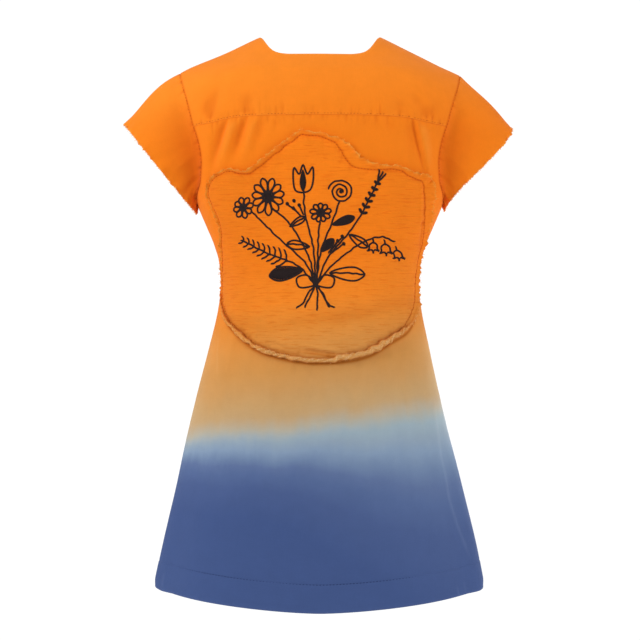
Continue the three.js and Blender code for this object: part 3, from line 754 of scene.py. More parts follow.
def make_yoke(thickness):
    """Yoke: a clean neck edge, soft creases, and puckers along its stitched seam."""
    share = 1 - np.cos(np.pi / 2 * spread((0, 0.93, 56), (0.93, 1, 12)))[:, None]
    u = spread((0, 1, 168))[None, :]
    x, z = yoke_places(u + 0 * share, share + 0 * u)
    points = tilted(form_at(angle_at(x, z), z))
    over = z - yoke_line(np.abs(x))
    inside = armhole_back(z) - np.abs(x)
    lift = creases(x, z, YOKE_CREASES) * smooth(over / 8) * smooth(inside / 18)
    drawn = puckers(x, over, 6.0, 12, 1.3, 11) * smooth(inside / 12) * smooth((over + 1) / 4)
    lift += drawn
    lift += 0.35 * (1 - smooth(over / 9)) - 0.5 * hump(over - YOKE_STITCH, 0.9)
    lift -= 0.4 * (1 - smooth(over / 0.8))
    lift += waver(z * 0.9 + x * 0.35, 70, 4) * 0.35 * smooth(inside / 25) * smooth(over / 25)
    rim = np.minimum(share * 90, 50)
    lift -= 0.35 * (1 - smooth(rim / 1.4)) * (np.abs(x) < NECK_HALF)
    normal = grid_normals(points, around(points))
    # Paler at the seam fold and the neck edge; painted shade in the troughs of puckers and creases, and
    # darker along the armhole seam
    marks = {"edge": 0.15 * edge_mark(over, 1.5) + 0.35 * edge_mark(rim, 1.5) * (np.abs(x) < NECK_HALF),
             "deep": 0.35 * smooth(-drawn / 0.8) + 0.5 * smooth(-lift / 1.8) * smooth(over / 8)
             + 0.7 * edge_mark(inside, 0.9)}
    return cloth("yoke", points + normal * lift[..., None], around(points), thickness, marks)


def roll_shadow(turn, z):
    """Painted shadow: how dark the back is right under the rolled edge of the patch."""
    edge = patch_outline(PATCH_COLUMNS)[0]
    near = (z < -375) & (z > -475)
    across = turn[near][:, None] - edge[None, :, 0]
    down = z[near][:, None] - edge[None, :, 1]
    away = np.hypot(across, down).min(axis=1)
    shadow = np.zeros(z.shape)
    shadow[near] = hump(away + 0.3, 2.4) * smooth((-385 - z[near]) / 20)
    return shadow


def make_back(thickness):
    """Back: folds and creases under the yoke, side seams and the turned hem."""
    upper, share, rise = full_rows(spread((-0.03, 0.05, 16), (0.05, 0.985, 48)))
    u = spread((0, 0.04, 8), (0.04, 0.96, 152), (0.96, 1, 8))[None, :]
    angle, z = back_places(u, upper, share, rise)
    points = tilted(form_at(angle, z))
    x = points[..., 0].copy()
    hem = hem_line(x, HEM_BACK)
    folds = back_lift(x, z)
    pressed = ridges(x, z)
    side_curve(points, z - hem)
    under = yoke_line(np.abs(x)) - z
    inside = np.where(z > UNDERARM_Z, armhole_back(z) - np.abs(x), 30)
    lift = folds + skirt_lift(angle, z)
    over_patch = smooth((z - patch_top(x) + 2) / 8)
    lift += np.minimum(0.6 * folds, 4 * over_patch)
    lift += 1.5 * creases(x, z, BACK_CREASES, 1.7) * smooth(under / 7) * smooth(inside / 9)
    drawn = puckers(x, under, 6.0, 11, 1.3, 12) * smooth(inside / 10) * smooth((under + 1) / 4)
    lift += drawn
    lift -= 1.35 * (1 - smooth((under + 0.9) / 1.3))
    lift += pressed
    side = np.minimum(angle, np.pi - angle) * half_width(z)
    lift -= np.where(z < UNDERARM_Z, 0.45 * hump(side, 2.4), 0)
    lift += puckers(z, side, 13, 8, 0.35, 13) * (z < UNDERARM_Z)
    lift += waver(z + 0.6 * x, 120, 5) * 0.4 * smooth((-470 - z) / 60)
    lift += hem_lift(z, hem)
    normal = grid_normals(points, around(points))
    # Paler at the hem fold, with painted highlights on the pressed lines, the fold crests and the side
    # seams; painted shade in puckers, fold troughs, sharp folds and under the rolled edge, and darker
    # along the yoke seam and the armholes
    marks = {"edge": 0.15 * edge_mark(z - hem, 1.6) + 0.35 * clamp(pressed)
             + 0.22 * smooth(folds / 3) + painted_side_highlight(x, z, side, 60),
             "deep": 0.8 * edge_mark(under - 0.3, 0.8) + edge_mark(inside, 1.1)
             + 0.35 * smooth(-drawn / 0.8) + 0.45 * smooth(-folds / 3.2)
             + creases(x, z, FOLD_SHADOWS) + 1.7 * roll_shadow(angle * PATCH_TURN, z)}
    return cloth("back", points + normal * lift[..., None], around(points), thickness, marks)


def make_front(name, hand, thickness):
    """A front: folds drawn to the button, a stitched free edge and the turned hem."""
    upper, share, rise = full_rows((1 - np.cos(np.pi * spread((0, 0.985, 76)))) / 2)
    u = spread((0, 0.03, 5), (0.03, 0.955, 84), (0.955, 1, 13))[None, :]
    angle, z = front_places(u, upper, share, rise, 0.016)
    points = form_at(-angle, z)
    points[..., 0] *= hand
    points = tilted(points)
    x = points[..., 0].copy()
    hem = hem_line(x, HEM_FRONT)
    side_curve(points, z - hem)
    turn = np.where(hand > 0, -angle, angle - np.pi)
    inside = np.where(z > UNDERARM_Z, armhole_front(z) - np.abs(x), 30)
    folds = creases(x, z, FRONT_FOLDS) * smooth(inside / 20)
    folds += creases(x, z, FRONT_CREASES, 1.7) * smooth(inside / 12)
    lift = folds + skirt_lift(turn, z)
    free = (angle_at(-wrap_edge(z), z) - angle) * half_width(z)
    lift += puckers(z, free, 16, 9, 0.3, 21) * smooth(free / 3)
    lift += 0.25 * (1 - smooth(free / 10)) - 0.5 * hump(free - FREE_STITCH, 1.0)
    lift -= 0.4 * (1 - smooth(free / 1.5))
    side = np.abs(angle) * half_width(z)
    lift -= np.where(z < UNDERARM_Z, 1.25 * (1 - smooth((angle * half_width(z) + 0.6) / 2.2)), 0)
    lift += hem_lift(z, hem)
    lift += waver(z + 0.5 * x, 110, 22) * 0.4 * smooth((-430 - z) / 60)
    if hand > 0:
        beyond = x - wrap_edge(z)
        dip = UNDER_DIP["depth"] * smooth((UNDER_DIP["starts"] - beyond) / UNDER_DIP["width"])
        lift -= dip * np.where(z < UNDERARM_Z, smooth(side / UNDER_DIP["side"]), 1)
    normal = grid_normals(points, around(points))
    # Paler at the free edge, the hem fold and the side seams, with a painted highlight on the side seams
    # and the fold crests; painted shade in the fold troughs, and darker along the armhole seam and the
    # stitch line
    marks = {"edge": 0.3 * edge_mark(free, 1.6) + 0.15 * edge_mark(z - hem, 1.6)
             + 0.1 * edge_mark(side, 2) + painted_side_highlight(x, z, side, 40) + 0.2 * smooth(folds / 3),
             "deep": 0.9 * edge_mark(inside, 0.9) + 0.2 * hump(free - FREE_STITCH, 1.2)
             + 0.45 * smooth(-folds / 3)}
    return cloth(name, points + normal * lift[..., None], around(points), thickness, marks)


def armhole_loop(hand, count):
    """The armhole seam as one closed loop: down the back from the shoulder, then up the front."""
    share = np.linspace(0, 1, 400) ** 2
    z = blend(SHOULDER_END_Z, UNDERARM_Z, share)
    parts = []
    for side, armhole in ((1, armhole_back), (-1, armhole_front)):
        line = form_at(side * angle_at(armhole(z), z), z)
        if side > 0:
            line[:, 1] = np.where(share > 0, line[:, 1], 0)
        parts.append(resample(line, np.linspace(0, 1, count + 1)))
    back, front = parts
    loop = np.vstack([back, front[-2:0:-1]])
    loop[0, 1] = 0
    loop[count, 1] = 0
    side = np.where(loop[:, 1] >= 0, 1, -1)
    angle = side * angle_at(loop[:, 0], loop[:, 2])
    normal = form_normal(angle, loop[:, 2])
    for _ in range(6):
        normal = unit(np.roll(normal, 1, axis=0) + 2 * normal + np.roll(normal, -1, axis=0))
    behind = np.linspace(0, np.pi, count + 1)
    turns = np.concatenate([behind, np.linspace(np.pi, 2 * np.pi, count + 1)[1:-1]])
    if hand < 0:
        loop = loop * np.array([-1, 1, 1])
        normal = normal * np.array([-1, 1, 1])
    return tilted(loop), normal, turns


def cuff_at(hand, turns):
    """The raw opening of a sleeve: a slanted loop from its tip to its lowest place."""
    half = (CUFF_TIP[hand] - CUFF_LOW[hand]) / 2
    sine = np.abs(np.sin(turns))
    behind = turns <= np.pi
    loop = (CUFF_TIP[hand] + CUFF_LOW[hand]) / 2 + np.cos(turns)[:, None] * half
    wave = CUFF_WAVE[hand] * np.sin(2 * np.minimum(turns, 2 * np.pi - turns))
    loop = loop + (CUFF_BULGE[hand] * sine + wave)[:, None] * ARM_DIRECTION
    loop[:, 1] = np.where(behind, CUFF_DEPTH["back"], -CUFF_DEPTH["front"]) * sine
    return loop * np.array([hand, 1, 1])


def sleeve_grid(hand, rows, count):
    """Outer points of a sleeve from its armhole seam to its cuff, and that seam with its directions."""
    loop, normal, turns = armhole_loop(hand, count)
    along = np.roll(loop, -1, axis=0) - np.roll(loop, 1, axis=0)
    away = unit(np.cross(along, normal))
    if away[0, 0] * hand < 0:
        away = -away
    arm = ARM_DIRECTION * np.array([hand, 1, 1])
    end = cuff_at(hand, turns)
    reach = np.linalg.norm(end - loop, axis=-1, keepdims=True)
    t = rows[:, None, None]
    points = ((1 + 2 * t) * (1 - t) ** 2 * loop + t * t * (3 - 2 * t) * end
              + t * (1 - t) ** 2 * reach * SLEEVE_LEAVE * away
              + t * t * (t - 1) * reach * SLEEVE_ARRIVE * arm)
    return points, loop, normal, away, turns


def ragged_edge(hand, run):
    """How far the raw edge of a sleeve stands out along its run: unevenly torn, in some places more."""
    ragged = waver(run, 22, 41 + hand) * 0.8 + waver(run, 8, 43 + hand) * 0.7 + waver(run, 4.5, 47) * 0.35
    return (0.8 + 0.5 * waver(run, 50, 45 + hand)) * ragged


def make_sleeve(name, hand, thickness):
    """A cap sleeve: folds, puckers along the armhole and a ragged raw edge."""
    rows = spread((0, 0.08, 10), (0.08, 0.94, 40), (0.94, 1, 8))
    points, loop, root_normal, away, turns = sleeve_grid(hand, rows, 132)
    centre = points.mean(axis=1, keepdims=True)
    normal = grid_normals(points, unit(points - centre))
    normal[0] = root_normal
    t = rows[:, None]
    degrees = np.degrees(np.where(turns <= np.pi, turns, turns - 2 * np.pi))[None, :]
    lift = np.zeros(points.shape[:2])
    for place, width, height in SLEEVE_FOLDS:
        lift += height * hump(degrees - place, width) * np.sin(np.pi / 2 * t)
    for place, width, height in SLEEVE_CREASES:
        lift += height * hump(degrees - place, width) * np.sin(np.pi * clamp(t * 1.1 + 0.05))
    run = lengths(loop)[None, :]
    long = np.linalg.norm(points[-1] - points[0], axis=-1)[None, :]
    from_seam = t * long
    to_cuff = (1 - t) * long
    back_half = np.where(degrees > 0, smooth((degrees - 25) / 45) * smooth((172 - degrees) / 30), 0)
    lift -= 3.4 * back_half * hump(from_seam - 15, 13)
    crown = SLEEVE_CROWN[hand] * np.sin(np.pi * t) - SLEEVE_FULLNESS[hand] * np.sin(2 * np.pi * t)
    lift += crown * np.maximum(0, np.cos(turns))[None, :]
    drawn = puckers(run, from_seam, 7.5, 8, 1.5, 31 + hand) * smooth((from_seam + 0.5) / 3)
    lift += drawn
    lift += waver(run, 34, 33 + hand) * 0.9 * hump(to_cuff, 14)
    lift += waver(run, 9, 36 + hand) * 0.5 * hump(to_cuff, 4)
    lift += waver(run * 0.8 + from_seam, 60, 39 + hand) * 0.5 * smooth(from_seam / 15)
    lift -= 0.9 * hump(from_seam, 2.0)
    outer = points + normal * lift[..., None]
    outer[-1] += unit(outer[-1] - outer[-3]) * ragged_edge(hand, run)[0][:, None]
    lower = np.stack([loop - away * 3.0 - root_normal * 1.25, loop - away * 1.2 - root_normal * 1.25])
    grid = np.concatenate([lower, outer])
    # Painted shade on the lower half and under the arm, darker along the armhole seam and in the puckers'
    # troughs, and less near the cuff
    low = np.where(degrees > 0, smooth((degrees - 30) / 80), smooth((-degrees - 60) / 80))
    deep = SLEEVE_SHADE[hand] * low * (1 - smooth((t - 0.2) / 0.75))
    deep = deep + UNDERARM_SHADE[hand] * smooth((np.abs(degrees) - 105) / 50)
    seam = clamp(0.6 + 0.4 * waver(run, 12, 62)) * edge_mark(from_seam, 1.3)
    deep = deep + seam + 0.5 * smooth(-drawn / 0.9)
    pale = clamp(0.55 + 0.6 * waver(run, 11, 48 + hand))
    marks = {"edge": pale * edge_mark(to_cuff, 1.4), "deep": deep * (1 - 0.7 * edge_mark(to_cuff, 3))}
    marks = {key: np.concatenate([value[:1], value[:1], value]) for key, value in marks.items()}
    grid = closed_ring(grid)
    marks = {key: closed_ring(value) for key, value in marks.items()}
    return cloth(name, grid, unit(grid - grid.mean(axis=1, keepdims=True)), thickness, marks, 0.01)


def patch_outline(count):
    """The raw edge round the patch, as turn and height, its inward directions and its own columns."""
    limit = PATCH_SIDE * half_width(PATCH_EDGE["z"])
    turn = angle_at(np.clip(PATCH_EDGE["x"], -limit, limit), PATCH_EDGE["z"]) * PATCH_TURN
    names = ("flap", "lift", "roll")
    knots = np.stack([turn, PATCH_EDGE["z"]] + [PATCH_EDGE[name] for name in names], axis=-1)
    dense = curve_through(knots, True, 0.5)
    run = lengths(dense[:, :2])
    at = np.linspace(0, run[-1], count + 1)
    line = np.stack([np.interp(at, run, column) for column in dense.T], axis=-1)
    edge = line[:-1, :2]
    tangent = np.roll(edge, -1, axis=0) - np.roll(edge, 1, axis=0)
    inward = unit(np.stack([-tangent[:, 1], tangent[:, 0]], axis=-1))
    centre = np.array([angle_at(PATCH_CENTRE[0], PATCH_CENTRE[1]) * PATCH_TURN, PATCH_CENTRE[1]])
    if np.sum(inward * (centre - edge)) < 0:
        inward = -inward
    for _ in range(count // 40):
        inward = unit(np.roll(inward, 1, axis=0) + inward + np.roll(inward, -1, axis=0))
    return edge, inward, centre, at[:-1], {name: line[:-1, 2 + k] for k, name in enumerate(names)}


def on_back(turn, z, height):
    """Places over the back's own surface, folds included."""
    angle = turn / PATCH_TURN
    lift = body_lift(angle, z) + height
    return tilted(form_at(angle, z) + form_normal(angle, z) * lift[..., None])


def patch_lift(turn, z):
    """Soft unevenness of the patch: pulled creases and slack between them."""
    x = form_at(turn / PATCH_TURN, z)[..., 0]
    return creases(x, z, PATCH_CREASES, 1.7) + 0.35 * waver(z * 1.4 + 0.25 * x, 60, 51)


def patch_inside(stitched, centre, run, shaded):
    """The flat part inside the stitch line: its places, how high they lie and how dark their painted shade
    is.
    """
    ring = spread((0, 0.9, 32), (0.9, 1, 13))[:, None, None]
    ring[0] = 0
    flat = centre + (stitched - centre)[None] * ring
    reach = np.linalg.norm(stitched - centre, axis=-1)[None, :]
    inside = (1 - ring[..., 0]) * reach
    slack = patch_lift(flat[..., 0], flat[..., 1])
    height = PATCH_HEIGHT - (PATCH_HEIGHT - PATCH_SEAM_HEIGHT) * hump(inside, 3.2)
    height = height + slack * smooth(inside / 6)
    drawn = puckers(run[None, :], inside, 9, 10, 0.8, 53) * smooth((inside + 0.6) / 3)
    # Painted shade next to the stitch line, in the troughs of puckers and slack, and along the pulled
    # creases; weaker on the wearer's left, where the light falls
    dark = (0.8 * hump(inside, 1.4) + 0.4 * smooth(-drawn / 0.8)) * (0.25 + 0.75 * shaded)
    dark = dark + 0.5 * smooth(-slack / 1.2)
    sideways = form_at(flat[..., 0] / PATCH_TURN, flat[..., 1])[..., 0]
    return flat, height + drawn, dark + creases(sideways, flat[..., 1], PATCH_SHADOWS)


def patch_rim(run, own, flap, second, shaded):
    """The raw edge: how far out and how high it lies, how frayed it is, and its painted highlight and
    shade.

    It lifts and frays, or rolls up to a twisted rope, where a second turn may lie in it.
    """
    r = spread((0, 1, 20))[1:, None]
    rolled = own["roll"][None, :]
    frayed = (0.9 * waver(run, 12, 50) + 0.6 * waver(run, 5, 49)) * smooth(flap / 4.5)
    lay = r * np.maximum(flap + frayed * r ** 3, 0.5)
    ruffle = 1 + 0.45 * waver(run, 26, 54)[None, :]
    rise = PATCH_SEAM_HEIGHT + 0.5 + own["lift"][None, :] * ruffle * r ** 1.4
    rise = rise + 1.1 * waver(run, 8, 55)[None, :] * r ** 2
    turned = clamp((r - ROLL["share"]) / (1 - ROLL["share"])) * ROLL["turn"]
    twist = run / 8 + 0.45 * waver(run, 60, 58)
    strength = clamp(0.07 + 0.07 * waver(run, 55, 59), 0.02, 0.18)
    groove = np.sin(2 * np.pi * twist + 2.2 * turned)
    frizz = waver(run + 5 * turned, 7, 57) * 0.7 + waver(run - 7 * turned, 5, 46) * 0.5
    uneven = (0.18 * waver(run, 34, 56) + 0.11 * waver(run, 13, 61))[None, :]
    rope = 1 + strength * groove + uneven + 0.13 * frizz
    radius = ROLL["radius"] * rope * (1 + 0.55 * second)
    lay_rolled = clamp(r / ROLL["share"]) * (ROLL["flat"] - 2.2 * second) + radius * np.sin(turned)
    rise_rolled = PATCH_SEAM_HEIGHT + 0.2 + radius * (1 - np.cos(turned))
    degrees = np.degrees(turned)
    # Painted highlight along the rope's top, and painted shade along its two sides
    highlit_crest = hump(degrees - 178, 48)
    shaded_rope_sides = hump(degrees - 98, 26) + hump(degrees - 258, 26)
    raw = edge_mark((1 - r) * flap[None, :], 1.1) * clamp(0.7 + 0.5 * waver(run, 13, 48)) * (1 - rolled)
    raw = raw + clamp((0.38 + 0.45 * frizz + 0.8 * strength * groove) * highlit_crest) * rolled * smooth(r / 0.3)
    # Painted shade under the lifted flap beside the stitch line, along the rope's sides and between its
    # fibres
    dark = 0.8 * hump(r * flap, 1.2) * smooth(flap / 4) * shaded
    dark = dark + clamp(1.6 * shaded_rope_sides + 0.5 * smooth(-frizz - 0.3), 0, 1.9) * rolled * smooth(r / 0.3)
    return blend(lay, lay_rolled, rolled), blend(rise, rise_rolled, rolled), raw, dark


def patch_grid():
    """Outer points of the patch, its marks, its stitch line and the directions inwards from there."""
    edge, inward, centre, run, own = patch_outline(PATCH_COLUMNS)
    flap = own["flap"] + 0.5 * waver(run, 16, 52) * smooth(own["flap"] / 6)
    stitched = edge + inward * flap[:, None]
    across = form_at(edge[:, 0] / PATCH_TURN, edge[:, 1])[:, 0]
    second = (smooth((-22 - across) / 4) * (edge[:, 1] < -380))[None, :]
    # Painted shade falls all round the edge but on the wearer's left side, where the light falls
    shaded = (1 - smooth((across - 118) / 16))[None, :]
    flat, height, inside_painted_shade = patch_inside(stitched, centre, run, shaded)
    lay, rise, raw, dark = patch_rim(run, own, flap, second, shaded)
    places = np.concatenate([flat, stitched[None] - inward[None] * lay[..., None]])
    marks = {"edge": np.concatenate([np.zeros(inside_painted_shade.shape), raw]), "deep": np.concatenate([inside_painted_shade, dark])}
    points = on_back(places[..., 0], places[..., 1], np.concatenate([height, rise]))
    return points, marks, stitched, inward


def make_patch(thickness):
    """Patch: the grid closed to a ring, with a map that runs straight round the body."""
    points, marks = patch_grid()[:2]
    points = closed_ring(points)
    marks = {key: closed_ring(value) for key, value in marks.items()}
    obj = cloth("patch", points, around(points), thickness, marks, 0.01)
    turn_map = np.empty((len(obj.data.loops), 2))
    corners = np.empty(len(obj.data.loops), dtype=np.int32)
    obj.data.loops.foreach_get("vertex_index", corners)
    co = np.empty(3 * len(obj.data.vertices))
    obj.data.vertices.foreach_get("co", co)
    co = co.reshape(-1, 3)[corners]
    turn_map[:, 0] = np.arctan2(co[:, 0], co[:, 1] + 0.02) * 0.125
    turn_map[:, 1] = co[:, 2]
    obj.data.uv_layers[0].data.foreach_set("uv", turn_map.ravel())
    return obj


# ---- embroidery: a tied bunch of garden flowers ----
BUNCH = {"x": 6, "z": -350}
STEMS = [
    [(0, 0), (-10, 40), (-34, 82), (-58, 104)], [(0, 0), (-3, 50), (-14, 96), (-16, 128)],
    [(1, 0), (7, 45), (22, 84), (32, 112)], [(2, 0), (16, 36), (44, 70), (62, 96)],
    [(2, 0), (22, 26), (60, 56), (88, 66), (106, 60)], [(-1, 0), (-24, 26), (-66, 44), (-100, 62)],
    [(0, 0), (-14, 30), (-52, 66), (-86, 100)], [(1, 4), (3, 40), (4, 70), (6, 86)],
    [(0, 0), (-6, -14), (-14, -30)], [(1, 0), (3, -16), (2, -34)], [(2, 0), (10, -14), (18, -30)],
]
LEAVES = [
    (-18, 20, -62, 12, 11, True), (20, 16, 66, 14, 11, False), (-9, 52, -38, 56, 7, False),
    (24, 82, 52, 92, 6, True), (8, 46, 24, 62, 6, True), (46, 68, 70, 52, 7, False),
    (-34, 80, -14, 92, 5, False),
]
DAISIES = [(-64, 120, 23, 11, 6.5), (-98, 106, 13, 8, 3.6), (7, 98, 13, 9, 3.8)]
GRAINS = [(62, 96), (66, 104), (70, 112), (74, 120), (78, 128), (82, 136)]
BELLS = [(78, 58, 9, 0.0), (94, 56, 10, 0.15), (110, 48, 9, 0.3)]
BELL = [
    (0, 0), (-0.55, -0.35), (-0.62, -0.95), (-0.85, -1.25), (-0.3, -1.1), (0, -1.3),
    (0.3, -1.1), (0.85, -1.25), (0.62, -0.95), (0.55, -0.35),
]
TULIP = [
    (-27, 128), (-30, 142), (-29, 158), (-22, 150), (-17, 162),
    (-11, 150), (-4, 159), (-3, 143), (-7, 129), (-17, 125),
]
TWIGS = [
    [(-19, 93), (-30, 104)], [(-17, 96), (-22, 108)], [(-24, 98), (-38, 110)], [(18, 44), (30, 60)],
    [(20, 46), (36, 66)], [(22, 44), (38, 56)],
]
BERRIES = [(-30, 104), (-22, 108), (-38, 110), (-29, 114), (30, 60), (36, 66), (38, 56)]


def petal(x, z, angle, length, width):
    """Closed outline of a petal that points along an angle."""
    shape = [(0, 0), (0.35, 0.42), (0.75, 0.5), (1, 0), (0.75, -0.5), (0.35, -0.42)]
    cosine = math.cos(angle)
    sine = math.sin(angle)
    return [(x + a * length * cosine - b * width * sine, z + a * length * sine + b * width * cosine)
            for a, b in shape]


def ring_of(x, z, radius, count=10):
    """Closed outline of a small circle."""
    turns = [2 * math.pi * k / count for k in range(count)]
    return [(x + radius * math.cos(turn), z + radius * math.sin(turn)) for turn in turns]


def bunch_lines():
    """Outlines (open or closed) and filled shapes of the bunch, in the back view: right and up."""
    lines = [(stem, False) for stem in STEMS]
    fills = []
    for x0, z0, x1, z1, width, filled in LEAVES:
        angle = math.atan2(z1 - z0, x1 - x0)
        length = math.hypot(x1 - x0, z1 - z0)
        outline = petal(x0, z0, angle, length, 2 * width * 0.8)
        lines.append((outline, True))
        if filled:
            fills.append((outline, angle + math.pi / 3))
        else:
            lines.append(([(x0, z0), ((x0 + x1) / 2 + 1, (z0 + z1) / 2 + 1), (x1, z1)], False))
    for x, z, radius, count, eye in DAISIES:
        fills.append((ring_of(x, z, eye), 0.3))
        lines.append((ring_of(x, z, eye), True))
        for k in range(count):
            angle = 2 * math.pi * (k + 0.3) / count
            start_x = x + (eye + 0.5) * math.cos(angle)
            start_z = z + (eye + 0.5) * math.sin(angle)
            long = (radius - eye) * (1 + 0.12 * math.sin(5 * k + x))
            lines.append((petal(start_x, start_z, angle, long, 2.4 * radius / count * 1.6), True))
    ear = math.atan2(8, 4)
    for k, (x, z) in enumerate(GRAINS):
        for side in (-1, 1):
            fills.append((petal(x, z, ear + side * 0.75, 9 - 0.5 * k, 4.4), ear))
        lines.append(([(x, z), (x + 4, z + 8)], False))
    for side in (-0.35, 0, 0.35):
        angle = ear + side
        lines.append(([(84, 140), (84 + 15 * math.cos(angle), 140 + 15 * math.sin(angle))], False))
    for x, z, size, lean in BELLS:
        bell = [(x + size * (a - lean * b), z + size * b) for a, b in BELL]
        lines.append((bell, True))
        lines.append(([(x, z), (x - 1, z + 5)], False))
        fills.append((petal(x - size * lean * -1.2, z - size * 1.25, -math.pi / 2, 4, 3), 0))
    lines.append((TULIP, True))
    fills.append(([(-19, 128), (-22, 140), (-17, 156), (-12, 140), (-15, 128)], 0.2))
    lines.append(([(34 + (2.5 + 0.95 * turn) * math.cos(turn), 126 + (2.4 + 0.9 * turn) * math.sin(turn))
                   for turn in np.linspace(0, 15.4, 60)], False))
    fills.append((ring_of(34, 126, 2.6), 0.8))
    frond = np.array([(-24, 26), (-66, 44), (-100, 62)])
    for k, (x, z) in enumerate(resample(frond.astype(float), np.linspace(0.2, 0.97, 9))):
        long = 15 - 1.1 * k
        for side in (-1, 1):
            angle = math.atan2(18, -36) + side * 0.95
            bent = angle + 0.15 * side
            middle = (x + long * 0.6 * math.cos(bent), z + long * 0.6 * math.sin(bent))
            tip = (x + long * math.cos(angle), z + long * math.sin(angle))
            lines.append(([(x, z), middle, tip], False))
    for x, z in BERRIES:
        fills.append((ring_of(x, z, 2.7, 8), 0.5))
    lines += [(twig, False) for twig in TWIGS]
    for side in (-1, 1):
        lines.append(([(0, 2), (side * 12, 13), (side * 25, 9), (side * 22, -3), (side * 9, -3)], True))
        lines.append(([(0, 0), (side * 10, -12), (side * 17, -26), (side * 25, -31)], False))
    fills.append((ring_of(0, 1, 4.2), 0.2))
    return lines, fills


def fill_spans(outline, angle, pitch):
    """Pairs of ends of parallel stitches that fill a closed outline."""
    cosine = math.cos(angle)
    sine = math.sin(angle)
    turned = outline @ np.array([[cosine, -sine], [sine, cosine]])
    spans = []
    for level in np.arange(turned[:, 1].min() + pitch / 2, turned[:, 1].max(), pitch):
        a = turned
        b = np.roll(turned, -1, axis=0)
        crossing = (a[:, 1] > level) != (b[:, 1] > level)
        share = (level - a[crossing, 1]) / (b[crossing, 1] - a[crossing, 1])
        places = np.sort(a[crossing, 0] + share * (b[crossing, 0] - a[crossing, 0]))
        for low, high in zip(places[::2], places[1::2]):
            if high - low > 0.8:
                spans.append(((low, level), (high, level)))
    back = np.array([[cosine, sine], [-sine, cosine]])
    return [tuple(np.array(end) @ back for end in span) for span in spans]


def on_patch(places, height):
    """Places of the drawing on the outer face of the patch, and outward directions there."""
    places = np.asarray(places, float)
    x = BUNCH["x"] - places[:, 0]
    z = BUNCH["z"] + places[:, 1]
    angle = angle_at(x, z)
    over = PATCH_HEIGHT + patch_lift(angle * PATCH_TURN, z) + height
    return on_back(angle * PATCH_TURN, z, over), form_normal(angle, z)


def embroidery_stitches():
    """Slanting stitches along every line and parallel ones across every filled shape."""
    lines, fills = bunch_lines()
    begins = []
    ends = []
    for k, (line, closed) in enumerate(lines):
        places = curve_through(line, closed, STITCH["step"])
        wobble = np.stack([waver(np.arange(len(places)) * 1.5, 15, 60 + k),
                           waver(np.arange(len(places)) * 1.5, 15, 160 + k)], axis=-1) * 0.35
        places = places + (wobble if not closed else 0)
        along = unit(np.gradient(places, axis=0))
        across = np.stack([-along[:, 1], along[:, 0]], axis=-1)
        half = along * STITCH["length"] / 2 + across * STITCH["slant"]
        begins.append(places - half)
        ends.append(places + half)
    for outline, angle in fills:
        spans = fill_spans(curve_through(outline, True, 1.0), angle, FILLING["pitch"])
        if spans:
            begins.append(np.array([span[0] for span in spans]))
            ends.append(np.array([span[1] for span in spans]))
    return begins, ends, len(lines)


# ---- finishes ----
class Socket:
    """A socket of a material's node. Arithmetic on it adds the Math nodes."""

    def __init__(self, finish, socket):
        self.finish = finish
        self.socket = socket

    def maths(self, operation, *others, swap=False):
        """Adds a Math node."""
        values = [self, *others]
        if swap:
            values = values[::-1]
        return self.finish.node("ShaderNodeMath", {"operation": operation}, dict(enumerate(values)))

    def __add__(self, other):
        return self.maths("ADD", other)

    def __sub__(self, other):
        return self.maths("SUBTRACT", other)

    def __rsub__(self, other):
        return self.maths("SUBTRACT", other, swap=True)

    def __mul__(self, other):
        return self.maths("MULTIPLY", other)

    def __truediv__(self, other):
        return self.maths("DIVIDE", other)

    def __rtruediv__(self, other):
        return self.maths("DIVIDE", other, swap=True)

    __radd__ = __add__
    __rmul__ = __mul__


